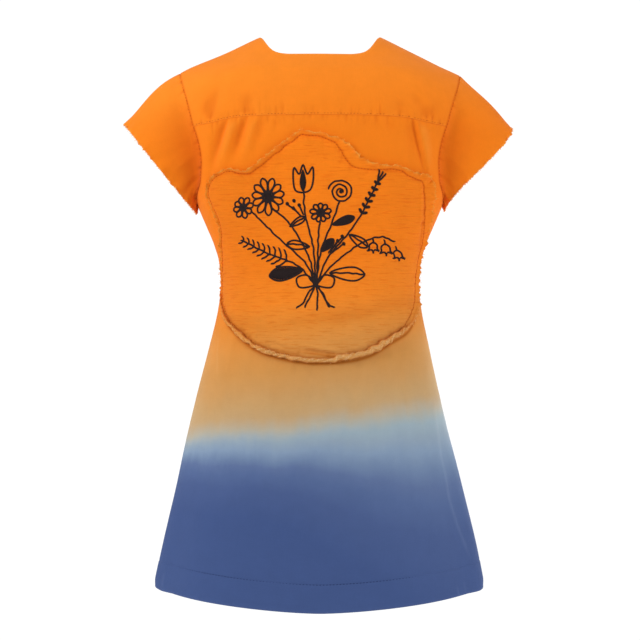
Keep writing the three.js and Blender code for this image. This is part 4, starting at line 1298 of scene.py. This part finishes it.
class Finish:
    """A material in the making."""

    def __init__(self, name):
        self.material = bpy.data.materials.new(name)
        self.material.use_nodes = True
        self.tree = self.material.node_tree
        self.tree.nodes.clear()

    def node(self, kind, settings=None, inputs=None, output=0):
        """Adds a node: its settings first, then the values or links of its sockets. Gives one output."""
        made = self.tree.nodes.new(kind)
        for name, value in (settings or {}).items():
            if name == "stops":
                ramp = made.color_ramp
                while len(ramp.elements) < len(value):
                    ramp.elements.new(0.5)
                for stop, (place, colour) in zip(ramp.elements, value):
                    stop.position = place
                    stop.color = (*colour, 1)
            else:
                setattr(made, name, value)
        for name, value in (inputs or {}).items():
            if isinstance(value, Socket):
                self.tree.links.new(value.socket, made.inputs[name])
            else:
                made.inputs[name].default_value = value
        return Socket(self, made.outputs[output])

    def ramp(self, value, stops):
        """A colour by a value."""
        return self.node("ShaderNodeValToRGB", {"stops": stops}, {0: value})

    def mix(self, factor, low, high, kind="MIX"):
        """Two colours mixed. Fixed colours are given as three numbers."""
        four = [(*c, 1) if isinstance(c, (tuple, list)) else c for c in (low, high)]
        settings = {"data_type": "RGBA", "blend_type": kind}
        return self.node("ShaderNodeMix", settings, {0: factor, 6: four[0], 7: four[1]}, 2)

    def step(self, value, low, high, start=0.0, end=1.0):
        """A soft step of a value from low to high."""
        return self.node("ShaderNodeMapRange", {"interpolation_type": "SMOOTHSTEP"},
                         {0: value, 1: low, 2: high, 3: start, 4: end})

    def mark(self, name):
        """A value that the cloth carries at each of its points."""
        return self.node("ShaderNodeAttribute", {"attribute_name": name}, None, "Fac")

    def where(self, output="Object"):
        """The place on the cloth or in the room."""
        return self.node("ShaderNodeTexCoord", None, None, output)

    def tinted(self, colour, tint):
        """A colour made darker by another."""
        return self.mix(1.0, colour, tint, "MULTIPLY")

    def faded(self, colour):
        """The paler tone of worn and frayed places, also used for painted highlights."""
        return self.node("ShaderNodeGamma", None, {"Color": colour, "Gamma": 0.55})

    def stretched(self, vector, scales):
        """A vector with each axis scaled."""
        return self.node("ShaderNodeVectorMath", {"operation": "MULTIPLY"}, {0: vector, 1: scales})

    def noise(self, vector, scale=1.0, detail=3.0, rough=0.5):
        """Uneven clouds."""
        return self.node("ShaderNodeTexNoise", None,
                         {"Vector": vector, "Scale": scale, "Detail": detail, "Roughness": rough})

    def parts(self, vector):
        """The three parts of a vector."""
        return [self.node("ShaderNodeSeparateXYZ", None, {0: vector}, k) for k in range(3)]

    def bump(self, height, distance, strength=1.0, normal=None):
        """Fine relief, on top of another one if given."""
        inputs = {"Height": height, "Distance": distance, "Strength": strength}
        if normal is not None:
            inputs["Normal"] = normal
        return self.node("ShaderNodeBump", None, inputs)

    def close(self, inputs):
        """Ends the material with its surface."""
        shader = self.node("ShaderNodeBsdfPrincipled", None, inputs)
        end = self.tree.nodes.new("ShaderNodeOutputMaterial")
        self.tree.links.new(shader.socket, end.inputs["Surface"])
        return self.material


def linear(red, green, blue):
    """A colour as seen on a screen, in the shader's own scale."""
    shares = [part / 255 for part in (red, green, blue)]
    return tuple(s / 12.92 if s < 0.04 else ((s + 0.055) / 1.055) ** 2.4 for s in shares)


# Metres here: where the blue starts and how it slopes, and the pitch of the threads of both weaves
DYE_LINE = -0.537
DYE_SLOPE = 0.11
PLAIN_PITCH = 0.00052
SLUB_PITCH = 0.00075


def dye(finish):
    """The dip dye: orange down to sand, a pale edge where the blue starts, and dark blue at the hem."""
    colours = bpy.context.scene.dress_colours
    place = finish.where()
    x, _, z = finish.parts(place)
    cloud = finish.noise(place, 13.0, 4.0) - 0.5
    wick = finish.noise(finish.stretched(place, (75, 75, 14)), 1.0, 3.0) - 0.5
    level = z + x * DYE_SLOPE + cloud * 0.024 + wick * 0.008
    warm = finish.ramp((level + 0.60) / 0.35, [
        (0.0, linear(186, 163, 128)), (0.2, linear(190, 159, 118)), (0.27, linear(195, 154, 102)),
        (0.33, linear(200, 148, 88)), (0.4, linear(204, 143, 75)), (0.48, linear(213, 141, 66)),
        (0.57, linear(223, 135, 48)), (0.66, linear(238, 132, 34)), (0.84, tuple(colours.orange_low)),
        (1.0, tuple(colours.orange_low)),
    ])
    warm = finish.mix(finish.step(level, -0.16, -0.03), warm, tuple(colours.orange))
    right = finish.step(x, 0.19, -0.19)
    depth = (DYE_LINE - level) / (right * right * 0.6 + right * 0.42 + 0.66)
    cold = finish.ramp(depth / 0.2, [
        (0.0, linear(165, 177, 174)), (0.06, linear(152, 170, 180)), (0.12, linear(142, 160, 177)),
        (0.185, linear(130, 151, 177)), (0.255, linear(110, 131, 164)), (0.32, linear(92, 111, 152)),
        (0.39, linear(83, 103, 147)), (0.525, linear(72, 91, 138)), (0.8, tuple(colours.blue)),
    ])
    share = finish.step((DYE_LINE - level) / 0.02, -1.0, 1.0)
    return finish.mix(share, warm, cold), place


def cotton(name, slub, shade=1.0, lint=0.0):
    """Dyed cotton: a plain weave, or a slubby one with long thick and thin threads across it."""
    finish = Finish(name)
    own_map = finish.where("UV")
    colour, place = dye(finish)
    u, v, _ = finish.parts(own_map)
    # Paleness of worn and frayed edges, together with painted highlights
    edge = finish.mark("edge")
    # Painted shade in creases, fold troughs, puckers and under the rolled edge, together with darker seams
    deep = finish.mark("deep")
    cloud = finish.noise(place, 45.0, 4.0, 0.6)
    speck = finish.noise(place, 900.0, 2.0, 0.7)
    scales = (40, 520, 1) if slub else (60, 1300, 1)
    streak = finish.noise(finish.stretched(own_map, scales), 1.0, 3.0, 0.6)
    rise = finish.noise(finish.stretched(own_map, (1300, 45, 1)), 1.0, 2.0, 0.6)
    tone = (cloud - 0.5) * 0.12 + (speck - 0.5) * 0.07 + (streak - 0.5) * (0.20 if slub else 0.08)
    tone = tone + (rise - 0.5) * (0.05 if slub else 0.06) + shade
    if slub:
        grain = finish.step(finish.noise(place, 520.0, 2.0, 0.6), 0.36, 0.64)
        x, _, _ = finish.parts(place)
        # Painted shade: the patch is darker towards its sides, more on the wearer's left
        tone = tone - finish.step(x, 0.03, 0.13) * 0.13 - finish.step(x, -0.03, -0.13) * 0.07
        deep = deep + edge * (1 - grain) * 0.45
        edge = edge * (grain * 0.9 + 0.45)
    grey = finish.node("ShaderNodeCombineXYZ", None, {0: tone, 1: tone, 2: tone})
    colour = finish.tinted(colour, grey)
    if slub:
        slubs = finish.noise(finish.stretched(own_map, (52, 400, 1)), 1.0, 2.0, 0.5)
        thick = finish.step(slubs, 0.53, 0.68) * 0.6
        colour = finish.mix(thick, colour, finish.tinted(colour, (0.90, 0.70, 0.45)))
    # Painted shade: darker, richer colour in shaded creases, folds and seams, and darker still in the
    # darkest shadows
    colour = finish.mix(deep, colour, finish.tinted(colour, (0.80, 0.60, 0.34)))
    darkest_painted_shade = finish.step(deep, 1.0, 1.9)
    colour = finish.mix(darkest_painted_shade, colour, finish.tinted(colour, (0.62, 0.48, 0.25)))
    # Paler at worn and frayed edges, with painted highlights on fold crests, pressed lines, side seams and
    # the rolled edge's top
    colour = finish.mix(edge * (0.8 + lint), colour, finish.faded(colour))
    turns = 2 * math.pi / (SLUB_PITCH if slub else PLAIN_PITCH)
    across = (u * turns).maths("SINE")
    down = (v * turns).maths("SINE")
    weave = across * down * 0.5 + (streak - 0.5) * (4.0 if slub else 1.0) + (rise - 0.5) * 0.8
    if slub:
        weave = weave + grain * edge * 3.0
    normal = finish.bump(weave, 0.00016 if slub else 0.00008, 0.9)
    crumple = finish.noise(finish.stretched(place, (1, 1, 0.7)), 34.0, 5.0, 0.55)
    normal = finish.bump(crumple, 0.0022 if slub else 0.0014, 0.5, normal)
    return finish.close({
        "Base Color": colour, "Roughness": 0.9, "Normal": normal, "Specular IOR Level": 0.12,
        "Sheen Weight": 0.04, "Sheen Roughness": 0.5,
    })


def thread(name, colour=None, shade=0.6, pale=0.0):
    """Twisted sewing thread, dyed with the cloth or in its own colour."""
    finish = Finish(name)
    base, place = dye(finish)
    if colour is None:
        rich = finish.node("ShaderNodeGamma", None, {"Color": base, "Gamma": 1.35})
        own = finish.mix(pale, finish.tinted(rich, (shade, shade, shade)), finish.faded(base))
    else:
        speck = finish.noise(place, 1400.0, 2.0)
        own = finish.mix(speck, tuple(c * 0.7 for c in colour), tuple(c * 1.5 for c in colour))
    twist = finish.noise(finish.stretched(place, (2600, 2600, 2600)), 1.0, 1.0)
    return finish.close({
        "Base Color": own, "Roughness": 0.7, "Normal": finish.bump(twist, 0.0001, 0.6),
        "Specular IOR Level": 0.12,
    })


def horn(name):
    """Moulded button: warm brown with soft darker clouds and a polished top."""
    finish = Finish(name)
    colours = bpy.context.scene.dress_colours
    place = finish.where()
    cloud = finish.noise(place, 260.0, 4.0, 0.6)
    dark = tuple(c * 0.45 for c in colours.button)
    scratch = finish.noise(finish.stretched(place, (400, 400, 3000)), 1.0, 2.0)
    return finish.close({
        "Base Color": finish.mix(finish.step(cloud, 0.35, 0.65), dark, tuple(colours.button)),
        "Roughness": cloud * 0.2 + 0.28, "Normal": finish.bump(scratch, 0.0001, 0.2), "Coat Weight": 0.2,
    })


def plain(name, colour, rough):
    """Matt paint with hardly any clouds."""
    finish = Finish(name)
    place = finish.where()
    tone = finish.noise(place, 3.0, 2.0)
    low = tuple(c * 0.985 for c in colour)
    return finish.close({"Base Color": finish.mix(tone, low, colour), "Roughness": rough})


def finish_of(key):
    """Each material is made once."""
    made = bpy.data.materials.get(key)
    if made:
        return made
    colours = bpy.context.scene.dress_colours
    makers = {
        "dip_dyed_weave": lambda: cotton(key, False),
        "dip_dyed_slub": lambda: cotton(key, True, 1.06, 0.2),
        "dyed_thread": lambda: thread(key, None, 0.6),
        "loose_fibres": lambda: thread(key, None, 1.0, 0.85),
        "black_thread": lambda: thread(key, tuple(colours.embroidery)),
        "horn": lambda: horn(key),
        "floor_paint": lambda: plain(key, (0.9, 0.9, 0.9), 0.9),
    }
    return makers[key]()


# ---- settings ----
def length_setting(name, description, default, low, high):
    """A length that a user may change, in metres."""
    return bpy.props.FloatProperty(
        name=name, description=description, default=default, min=low, max=high, unit="LENGTH", precision=4)


def colour_setting(name, description, default):
    """A colour that a user may change."""
    return bpy.props.FloatVectorProperty(
        name=name, description=description, default=default, min=0, max=1, subtype="COLOR")


class DressSizes(bpy.types.PropertyGroup):
    """Sizes of the dress that a user may change."""
    cloth: length_setting("Cloth", "Thickness of the dyed cotton", 0.001, 0.0004, 0.0016)
    patch_cloth: length_setting("Patch cloth", "Thickness of the patch", 0.0009, 0.0004, 0.0014)
    seam_stitch: length_setting("Seam stitch", "Stitch length of seams and hem", 0.0028, 0.0015, 0.004)
    fibre: length_setting("Loose fibre", "Usual length at the raw edges", 0.0032, 0.001, 0.008)


class DressColours(bpy.types.PropertyGroup):
    """Colours of the dress that a user may change."""
    orange: colour_setting("Orange", "Dye at the shoulders", linear(250, 138, 34))
    orange_low: colour_setting("Low orange", "Dye at the waist", linear(243, 126, 20))
    blue: colour_setting("Blue", "Dye at the hem", linear(64, 84, 133))
    embroidery: colour_setting("Embroidery", "Thread of the embroidery", linear(38, 28, 28))
    button: colour_setting("Button", "Lighter colour of the button", linear(186, 108, 36))


# ---- operators ----
class DressOperator:
    """What the dress's operators share."""
    bl_options = {"REGISTER", "UNDO"}

    def execute(self, context):
        self.make(context.scene.dress_sizes)
        return {"FINISHED"}


# Metres here: place, size and power of each light
LIGHTS = [
    ("key_light", (2.2, 1.9, 0.8), 1.2, 33), ("fill_light", (-2.6, 1.6, 0.1), 1.8, 23),
    ("top_light", (0.9, 0.9, 1.6), 1.0, 10), ("low_right_light", (-2.4, 0.2, -0.7), 1.0, 10),
    ("low_left_light", (2.4, 0.2, -0.7), 1.0, 8), ("front_light", (-1.2, -2.8, 0.6), 1.8, 36),
]
AIM = (0, 0, -0.38)
SURROUND = {"light": 0.5, "seen": 1.05}
FLOOR = {"radius": 2.2, "z": -1.25, "rim": 0.03, "raised": 0.004}
CAMERA = {"place": (0, 2.8, -0.398), "lens": 111.73, "film": 36}


class DRESS_OT_stage(DressOperator, bpy.types.Operator):
    """Sets the pale floor, the soft lights and the camera behind the dress"""
    bl_idname = "dress.stage"
    bl_label = "Stage"

    def make(self, sizes):
        self.lay_floor()
        scene = bpy.context.scene
        scene.view_settings.view_transform = "Standard"
        self.surround(scene)
        for name, place, size, power in LIGHTS:
            light = bpy.data.lights.new(name, "AREA")
            light.shape = "DISK"
            light.size = size
            light.energy = power
            lamp = bpy.data.objects.new(name, light)
            scene.collection.objects.link(lamp)
            lamp.location = place
            aim = Vector(AIM) - Vector(place)
            lamp.rotation_euler = aim.to_track_quat("-Z", "Y").to_euler()
        camera = bpy.data.objects.new("camera", bpy.data.cameras.new("camera"))
        scene.collection.objects.link(camera)
        camera.location = CAMERA["place"]
        camera.rotation_euler = (math.pi / 2, 0, math.pi)
        camera.data.lens = CAMERA["lens"]
        camera.data.sensor_width = CAMERA["film"]
        scene.camera = camera

    def lay_floor(self):
        """A round floor with a slim raised rim line."""
        deselect()
        bpy.ops.mesh.primitive_circle_add(
            vertices=96, radius=FLOOR["radius"], fill_type="NGON", location=(0, 0, 0))
        floor = bpy.context.object
        floor.name = "floor"
        edit(floor, lambda: bpy.ops.transform.translate(value=(0, 0, FLOOR["z"])),
             lambda: bpy.ops.mesh.inset(thickness=FLOOR["rim"]),
             lambda: bpy.ops.transform.translate(value=(0, 0, FLOOR["raised"])))
        floor.data.materials.append(finish_of("floor_paint"))

    def surround(self, scene):
        """White all round: softer as a light than as the camera sees it."""
        world = bpy.data.worlds.new("studio")
        scene.world = world
        world.use_nodes = True
        tree = world.node_tree
        tree.nodes.clear()
        rays = tree.nodes.new("ShaderNodeLightPath")
        either = tree.nodes.new("ShaderNodeMixShader")
        end = tree.nodes.new("ShaderNodeOutputWorld")
        tree.links.new(rays.outputs["Is Camera Ray"], either.inputs[0])
        for place, strength in ((1, SURROUND["light"]), (2, SURROUND["seen"])):
            white = tree.nodes.new("ShaderNodeBackground")
            white.inputs["Color"].default_value = (1, 1, 1, 1)
            white.inputs["Strength"].default_value = strength
            tree.links.new(white.outputs[0], either.inputs[place])
        tree.links.new(either.outputs[0], end.inputs["Surface"])


class DRESS_OT_yoke(DressOperator, bpy.types.Operator):
    """Makes the back yoke with its clean neck edge"""
    bl_idname = "dress.yoke"
    bl_label = "Yoke"

    def make(self, sizes):
        add_piece(make_yoke(sizes.cloth), finish_of("dip_dyed_weave"), "dyed_cotton", "back_yoke")


class DRESS_OT_back(DressOperator, bpy.types.Operator):
    """Makes the back with its folds under the yoke and its turned hem"""
    bl_idname = "dress.back"
    bl_label = "Back"

    def make(self, sizes):
        add_piece(make_back(sizes.cloth), finish_of("dip_dyed_weave"), "dyed_cotton", "back_body")


class DRESS_OT_fronts(DressOperator, bpy.types.Operator):
    """Makes the two fronts that wrap over each other"""
    bl_idname = "dress.fronts"
    bl_label = "Fronts"

    def make(self, sizes):
        for name, hand, node in (("right_front", -1, "front_right"), ("left_front", 1, "front_left")):
            front = make_front(name, hand, sizes.cloth)
            add_piece(front, finish_of("dip_dyed_weave"), "dyed_cotton", node)


class DRESS_OT_sleeves(DressOperator, bpy.types.Operator):
    """Makes the two cap sleeves with raw edges"""
    bl_idname = "dress.sleeves"
    bl_label = "Sleeves"

    def make(self, sizes):
        for name, hand, node in (("left_sleeve", 1, "sleeve_left"), ("right_sleeve", -1, "sleeve_right")):
            sleeve = make_sleeve(name, hand, sizes.cloth)
            add_piece(sleeve, finish_of("dip_dyed_weave"), "dyed_cotton", node)


class DRESS_OT_patch(DressOperator, bpy.types.Operator):
    """Makes the patch with its raw edge that lifts and rolls"""
    bl_idname = "dress.patch"
    bl_label = "Patch"

    def make(self, sizes):
        add_piece(make_patch(sizes.patch_cloth), finish_of("dip_dyed_slub"), "slub_cotton", "back_patch")


class DRESS_OT_embroidery(DressOperator, bpy.types.Operator):
    """Stitches a tied bunch of flowers on the patch"""
    bl_idname = "dress.embroidery"
    bl_label = "Embroidery"

    def make(self, sizes):
        begins, ends, line_count = embroidery_stitches()
        shape = template(6, 4)
        groups = (("embroidered_lines", slice(0, line_count), STITCH["width"], STITCH["height"]),
                  ("embroidered_fillings", slice(line_count, None), FILLING["width"], FILLING["height"]))
        for name, part, width, height in groups:
            starts, out = on_patch(np.vstack(begins[part]), 0.05)
            stops, _ = on_patch(np.vstack(ends[part]), 0.05)
            made = thread_copies(name, shape, starts, stops, out, width, height)
            add_piece(made, finish_of("black_thread"), "slub_cotton")


class DRESS_OT_seams(DressOperator, bpy.types.Operator):
    """Sews the stitch lines of the yoke, armholes, hem, front edge and patch"""
    bl_idname = "dress.seams"
    bl_label = "Seams"

    def make(self, sizes):
        length = sizes.seam_stitch / MM
        shape = template(6, 4)
        lines = {
            "yoke_stitches": [self.yoke_seam()],
            "hem_stitches": [self.back_hem(), self.front_hem(1), self.front_hem(-1)],
            "edge_stitches": [self.free_edge()],
            "patch_stitches": [self.patch_seam()],
            "armhole_stitches": [self.armhole_seam(1), self.armhole_seam(-1)],
        }
        for name, parts in lines.items():
            ends = [running_stitches(line, normals, length, SEAM_GAP) for line, normals in parts]
            starts, stops, out = (np.vstack([part[k] for part in ends]) for k in range(3))
            made = thread_copies(name, shape, starts, stops, out, SEAM_THREAD, SEAM_THREAD)
            slot = "slub_cotton" if name == "patch_stitches" else "dyed_cotton"
            add_piece(made, finish_of("dyed_thread"), slot)

    def yoke_seam(self):
        """Along the yoke, just over its seam."""
        x = np.linspace(172, -172, 700)
        z = yoke_line(np.abs(x)) + YOKE_STITCH
        inside = np.abs(x) < armhole_back(z) - 1
        angle = angle_at(x[inside], z[inside])
        normal = form_normal(angle, z[inside])
        return form_at(angle, z[inside]) - normal * 0.15, normal

    def hem_height(self, angle, hem):
        """Height of the upper edge of the turned hem."""
        return hem_line(form_at(angle, np.full(len(angle), -745.0))[:, 0], hem) + HEM_DEPTH

    def back_hem(self):
        """Along the upper edge of the back's turned hem."""
        angle = np.linspace(0.012, np.pi - 0.012, 900)
        z = self.hem_height(angle, HEM_BACK)
        normal = form_normal(angle, z)
        lift = skirt_lift(angle, z)[:, None] - 0.45
        return tilted(form_at(angle, z) + normal * lift), normal

    def front_hem(self, hand):
        """Along the upper edge of a front's turned hem."""
        angle = np.linspace(0.012, 2.38, 900)
        z = self.hem_height(-angle, HEM_FRONT)
        angle = np.minimum(angle, angle_at(-wrap_edge(z), z) - 0.035)
        place = form_at(-angle, z)
        normal = form_normal(-angle, z)
        turn = -angle if hand > 0 else angle - np.pi
        lift = skirt_lift(turn, z) - 0.45
        if hand > 0:
            beyond = place[:, 0] - wrap_edge(z)
            lift -= UNDER_DIP["depth"] * smooth((UNDER_DIP["starts"] - beyond) / UNDER_DIP["width"])
        flip = np.array([hand, 1, 1])
        return tilted((place + normal * lift[:, None]) * flip), normal * flip

    def free_edge(self):
        """Along the free edge of the right front, which lies on top."""
        z = np.linspace(-8, -738, 1500)
        angle = angle_at(-wrap_edge(z), z) - FREE_STITCH / half_width(z)
        place = form_at(-angle, z) * np.array([-1, 1, 1])
        normal = form_normal(-angle, z) * np.array([-1, 1, 1])
        lift = creases(place[:, 0], z, FRONT_FOLDS) + skirt_lift(angle - np.pi, z)
        lift += creases(place[:, 0], z, FRONT_CREASES, 1.7) - 0.25
        return tilted(place + normal * lift[:, None]), normal

    def patch_seam(self):
        """Round the patch, inside its raw edge."""
        stitched, inward = patch_grid()[2:]
        seam = stitched + inward * 0.2
        height = np.full(len(seam), PATCH_SEAM_HEIGHT + 0.05)
        place = on_back(seam[:, 0], seam[:, 1], height)
        return place, form_normal(seam[:, 0] / PATCH_TURN, seam[:, 1])

    def armhole_seam(self, hand):
        """Round an armhole, on the sleeve."""
        loop, normal, away = sleeve_grid(hand, np.array([0.0]), 220)[1:4]
        place = loop + away * 1.5 - normal * 0.25
        return np.vstack([place, place[:1]]), np.vstack([normal, normal[:1]])


class DRESS_OT_raw_edges(DressOperator, bpy.types.Operator):
    """Adds the loose fibres of the raw cuffs and of the patch"""
    bl_idname = "dress.raw_edges"
    bl_label = "Raw edges"

    def make(self, sizes):
        fibre = sizes.fibre / MM
        shape = template(4, 4)
        draw = np.random.default_rng(71)
        for name, hand in (("left_cuff_fibres", 1), ("right_cuff_fibres", -1)):
            points = sleeve_grid(hand, np.array([0.9, 1.0]), 160)[0]
            self.fringe(name, points, FIBRES["cuff"], fibre, shape, draw, "dyed_cotton")
        points = patch_grid()[0]
        self.fringe("patch_fibres", points, FIBRES["patch"], fibre, shape, draw, "slub_cotton")
        self.frizz(points, fibre, shape, draw)

    def frizz(self, points, fibre, shape, draw):
        """Short fibres that lie over the rolled edge, as its twist runs."""
        own = patch_outline(PATCH_COLUMNS)[-1]
        count = FIBRES["roll"]
        column = draw.choice(np.flatnonzero(own["roll"] > 0.5), count)
        row = draw.integers(len(points) - ROLL_ROWS, len(points) - 4, count)
        start = points[row, column]
        along = unit(points[row, (column + 1) % points.shape[1]] - start)
        across = unit(points[row + 1, column] - start)
        out = unit(np.cross(along, across))
        middle = points[-ROLL_ROWS:, column].mean(axis=0)
        out = out * np.sign(np.sum(out * (start - middle), axis=1, keepdims=True))
        direction = along * draw.normal(0.9, 0.5, (count, 1)) + across * draw.normal(0.7, 0.5, (count, 1))
        direction = unit(direction + out * draw.uniform(0.0, 0.35, (count, 1)))
        long = fibre * draw.uniform(0.4, 1.1, (count, 1))
        stop = start + out * 0.15 + direction * long
        made = thread_copies("roll_fibres", shape, start + out * 0.1, stop, out,
                             draw.uniform(0.3, 0.5, count), draw.uniform(0.25, 0.4, count))
        add_piece(made, finish_of("loose_fibres"), "slub_cotton")

    def fringe(self, name, points, count, fibre, shape, draw, slot):
        """Fibres that stand out of a raw edge."""
        loop = points[-1]
        out = unit(points[-1] - points[-2])
        pick = draw.integers(0, len(loop), count)
        share = draw.uniform(0, 1, (count, 1))
        after = (pick + 1) % len(loop)
        start = loop[pick] * (1 - share) + loop[after] * share
        along = unit(loop[after] - loop[pick])
        lean = draw.normal(0, 0.8, (count, 1))
        wild = draw.normal(0, 0.35, (count, 3))
        direction = unit(out[pick] + along * lean + wild)
        long = fibre * draw.uniform(0.3, 1.25, (count, 1)) ** 1.5
        start = start - out[pick] * 0.6
        across = unit(np.cross(direction, along + 0.01))
        made = thread_copies(name, shape, start, start + direction * long, across,
                             draw.uniform(0.22, 0.42, count), draw.uniform(0.22, 0.42, count))
        add_piece(made, finish_of("loose_fibres"), slot)


# Metres here: the button's rounded corners, the drill's length, how high the threads lie on it, and the
# shank of twisted threads under it
BEVEL = 0.00025
DRILL = 0.01
THREAD_HEIGHT = 0.0009
SHANK = {"threads": 6, "radius": 0.0009, "twist": 0.5, "below": 0.0022, "above": 0.001}


class DRESS_OT_button(DressOperator, bpy.types.Operator):
    """Makes the button at the left waist and the thread that holds it"""
    bl_idname = "dress.button"
    bl_label = "Button"

    def make(self, sizes):
        radius = BUTTON["radius"] * MM
        thick = BUTTON["thick"] * MM
        deselect()
        bpy.ops.mesh.primitive_cylinder_add(vertices=48, radius=radius, depth=thick, location=(0, 0, 0))
        disc = bpy.context.object
        disc.name = "waist_button"
        self.dish(disc, radius)
        for k in range(4):
            self.drill(disc, math.pi / 4 + k * math.pi / 2)
        corner = math.radians(35)
        apply_modifier(disc, "BEVEL", width=BEVEL, segments=2, limit_method="ANGLE", angle_limit=corner)
        seat, out = self.seat()
        pose = Matrix.Translation(Vector(seat + out * (BUTTON["lie"] + BUTTON["thick"] / 2)) * MM)
        pose = pose @ Vector(out).to_track_quat("Z", "Y").to_matrix().to_4x4()
        disc.data.transform(pose)
        disc.data.update()
        round_shading(disc, 35)
        add_piece(disc, finish_of("horn"), "button", "button")
        starts, stops = self.threads(pose, thick)
        normals = np.tile(out + 0.01, (len(starts), 1))
        made = thread_copies("button_thread", template(6, 6), starts, stops, normals,
                             BUTTON_THREAD, BUTTON_THREAD)
        add_piece(made, finish_of("dyed_thread"), "dyed_cotton")

    def drill(self, disc, turn):
        """Cuts one hole through the button."""
        out = BUTTON["hole_out"] * MM
        bpy.ops.object.select_all(action="DESELECT")
        bpy.ops.mesh.primitive_cylinder_add(
            vertices=16, radius=BUTTON["hole"] * MM, depth=DRILL,
            location=(out * math.cos(turn), out * math.sin(turn), 0))
        bit = bpy.context.object
        apply_modifier(disc, "BOOLEAN", operation="DIFFERENCE", object=bit, solver="EXACT")
        bpy.data.objects.remove(bit)

    def threads(self, pose, thick):
        """Ends of the threads from hole to hole on top, and of those of the shank under the button."""
        starts = []
        stops = []
        hole = BUTTON["hole_out"] * math.cos(math.pi / 4)
        for side in (-1, 1):
            for shift in (-0.35, 0.35):
                across = side * hole + shift
                reach = hole + 0.6
                starts.append(pose @ Vector((across * MM, -reach * MM, THREAD_HEIGHT)))
                stops.append(pose @ Vector((across * MM, reach * MM, THREAD_HEIGHT)))
        radius = SHANK["radius"]
        low = -thick / 2 - SHANK["below"]
        high = -thick / 2 + SHANK["above"]
        for k in range(SHANK["threads"]):
            turn = k * math.pi / 3
            twisted = turn + SHANK["twist"]
            starts.append(pose @ Vector((radius * math.cos(turn), radius * math.sin(turn), low)))
            stops.append(pose @ Vector((radius * math.cos(twisted), radius * math.sin(twisted), high)))
        return np.array([tuple(p) for p in starts]) / MM, np.array([tuple(p) for p in stops]) / MM

    def dish(self, disc, radius):
        """Sinks the top of the button inside its rim, in two steps."""
        def pick_top():
            bpy.ops.mesh.select_all(action="DESELECT")
            bpy.ops.object.mode_set(mode="OBJECT")
            for face in disc.data.polygons:
                face.select = face.normal.z > 0.9
            bpy.ops.object.mode_set(mode="EDIT")

        edit(disc, pick_top, lambda: bpy.ops.mesh.inset(thickness=radius * 0.16),
             lambda: bpy.ops.mesh.inset(thickness=radius * 0.1),
             lambda: bpy.ops.transform.translate(value=(0, 0, -0.0007)),
             lambda: bpy.ops.mesh.inset(thickness=radius * 0.3),
             lambda: bpy.ops.transform.translate(value=(0, 0, -0.0002)))

    def seat(self):
        """Where the button lies on the right front, and the outward direction there."""
        z = float(BUTTON["z"])
        angle = -float(angle_at(BUTTON["x"], z))
        seat = form_at(np.array(angle), np.array(z))
        out = np.array([seat[0] / half_width(z) ** 2, seat[1] / front_depth(z) ** 2, 0])
        return seat, out / np.linalg.norm(out)


class DRESS_OT_sheets(DressOperator, bpy.types.Operator):
    """An empty step: it makes nothing"""
    bl_idname = "dress.sheets"
    bl_label = "Flat sizes"

    def make(self, sizes):
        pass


class DRESS_PT_panel(bpy.types.Panel):
    """Lists the sizes, the colours and the pieces"""
    bl_label = "Wrap dress"
    bl_idname = "DRESS_PT_panel"
    bl_space_type = "VIEW_3D"
    bl_region_type = "UI"
    bl_category = "Wrap dress"

    def draw(self, context):
        scene = context.scene
        for title, group in (("Sizes", scene.dress_sizes), ("Colours", scene.dress_colours)):
            box = self.layout.box()
            box.label(text=title)
            for name in group.bl_rna.properties.keys():
                if name not in {"rna_type", "name"}:
                    box.prop(group, name)
        for operator in OPERATORS:
            self.layout.operator(operator.bl_idname)


OPERATORS = (
    DRESS_OT_stage, DRESS_OT_yoke, DRESS_OT_back, DRESS_OT_fronts, DRESS_OT_sleeves, DRESS_OT_patch,
    DRESS_OT_embroidery, DRESS_OT_seams, DRESS_OT_raw_edges, DRESS_OT_button, DRESS_OT_sheets,
)
CLASSES = (DressSizes, DressColours, *OPERATORS, DRESS_PT_panel)


def register():
    """Adds the settings, the operators and the panel."""
    for made in CLASSES:
        bpy.utils.register_class(made)
    bpy.types.Scene.dress_sizes = bpy.props.PointerProperty(type=DressSizes)
    bpy.types.Scene.dress_colours = bpy.props.PointerProperty(type=DressColours)


def unregister():
    """Takes them away again."""
    del bpy.types.Scene.dress_colours
    del bpy.types.Scene.dress_sizes
    for made in reversed(CLASSES):
        bpy.utils.unregister_class(made)


def main():
    """Makes the whole dress."""
    register()
    for operator in OPERATORS:
        family, name = operator.bl_idname.split(".")
        getattr(getattr(bpy.ops, family), name)()


if __name__ == "__main__":
    main()
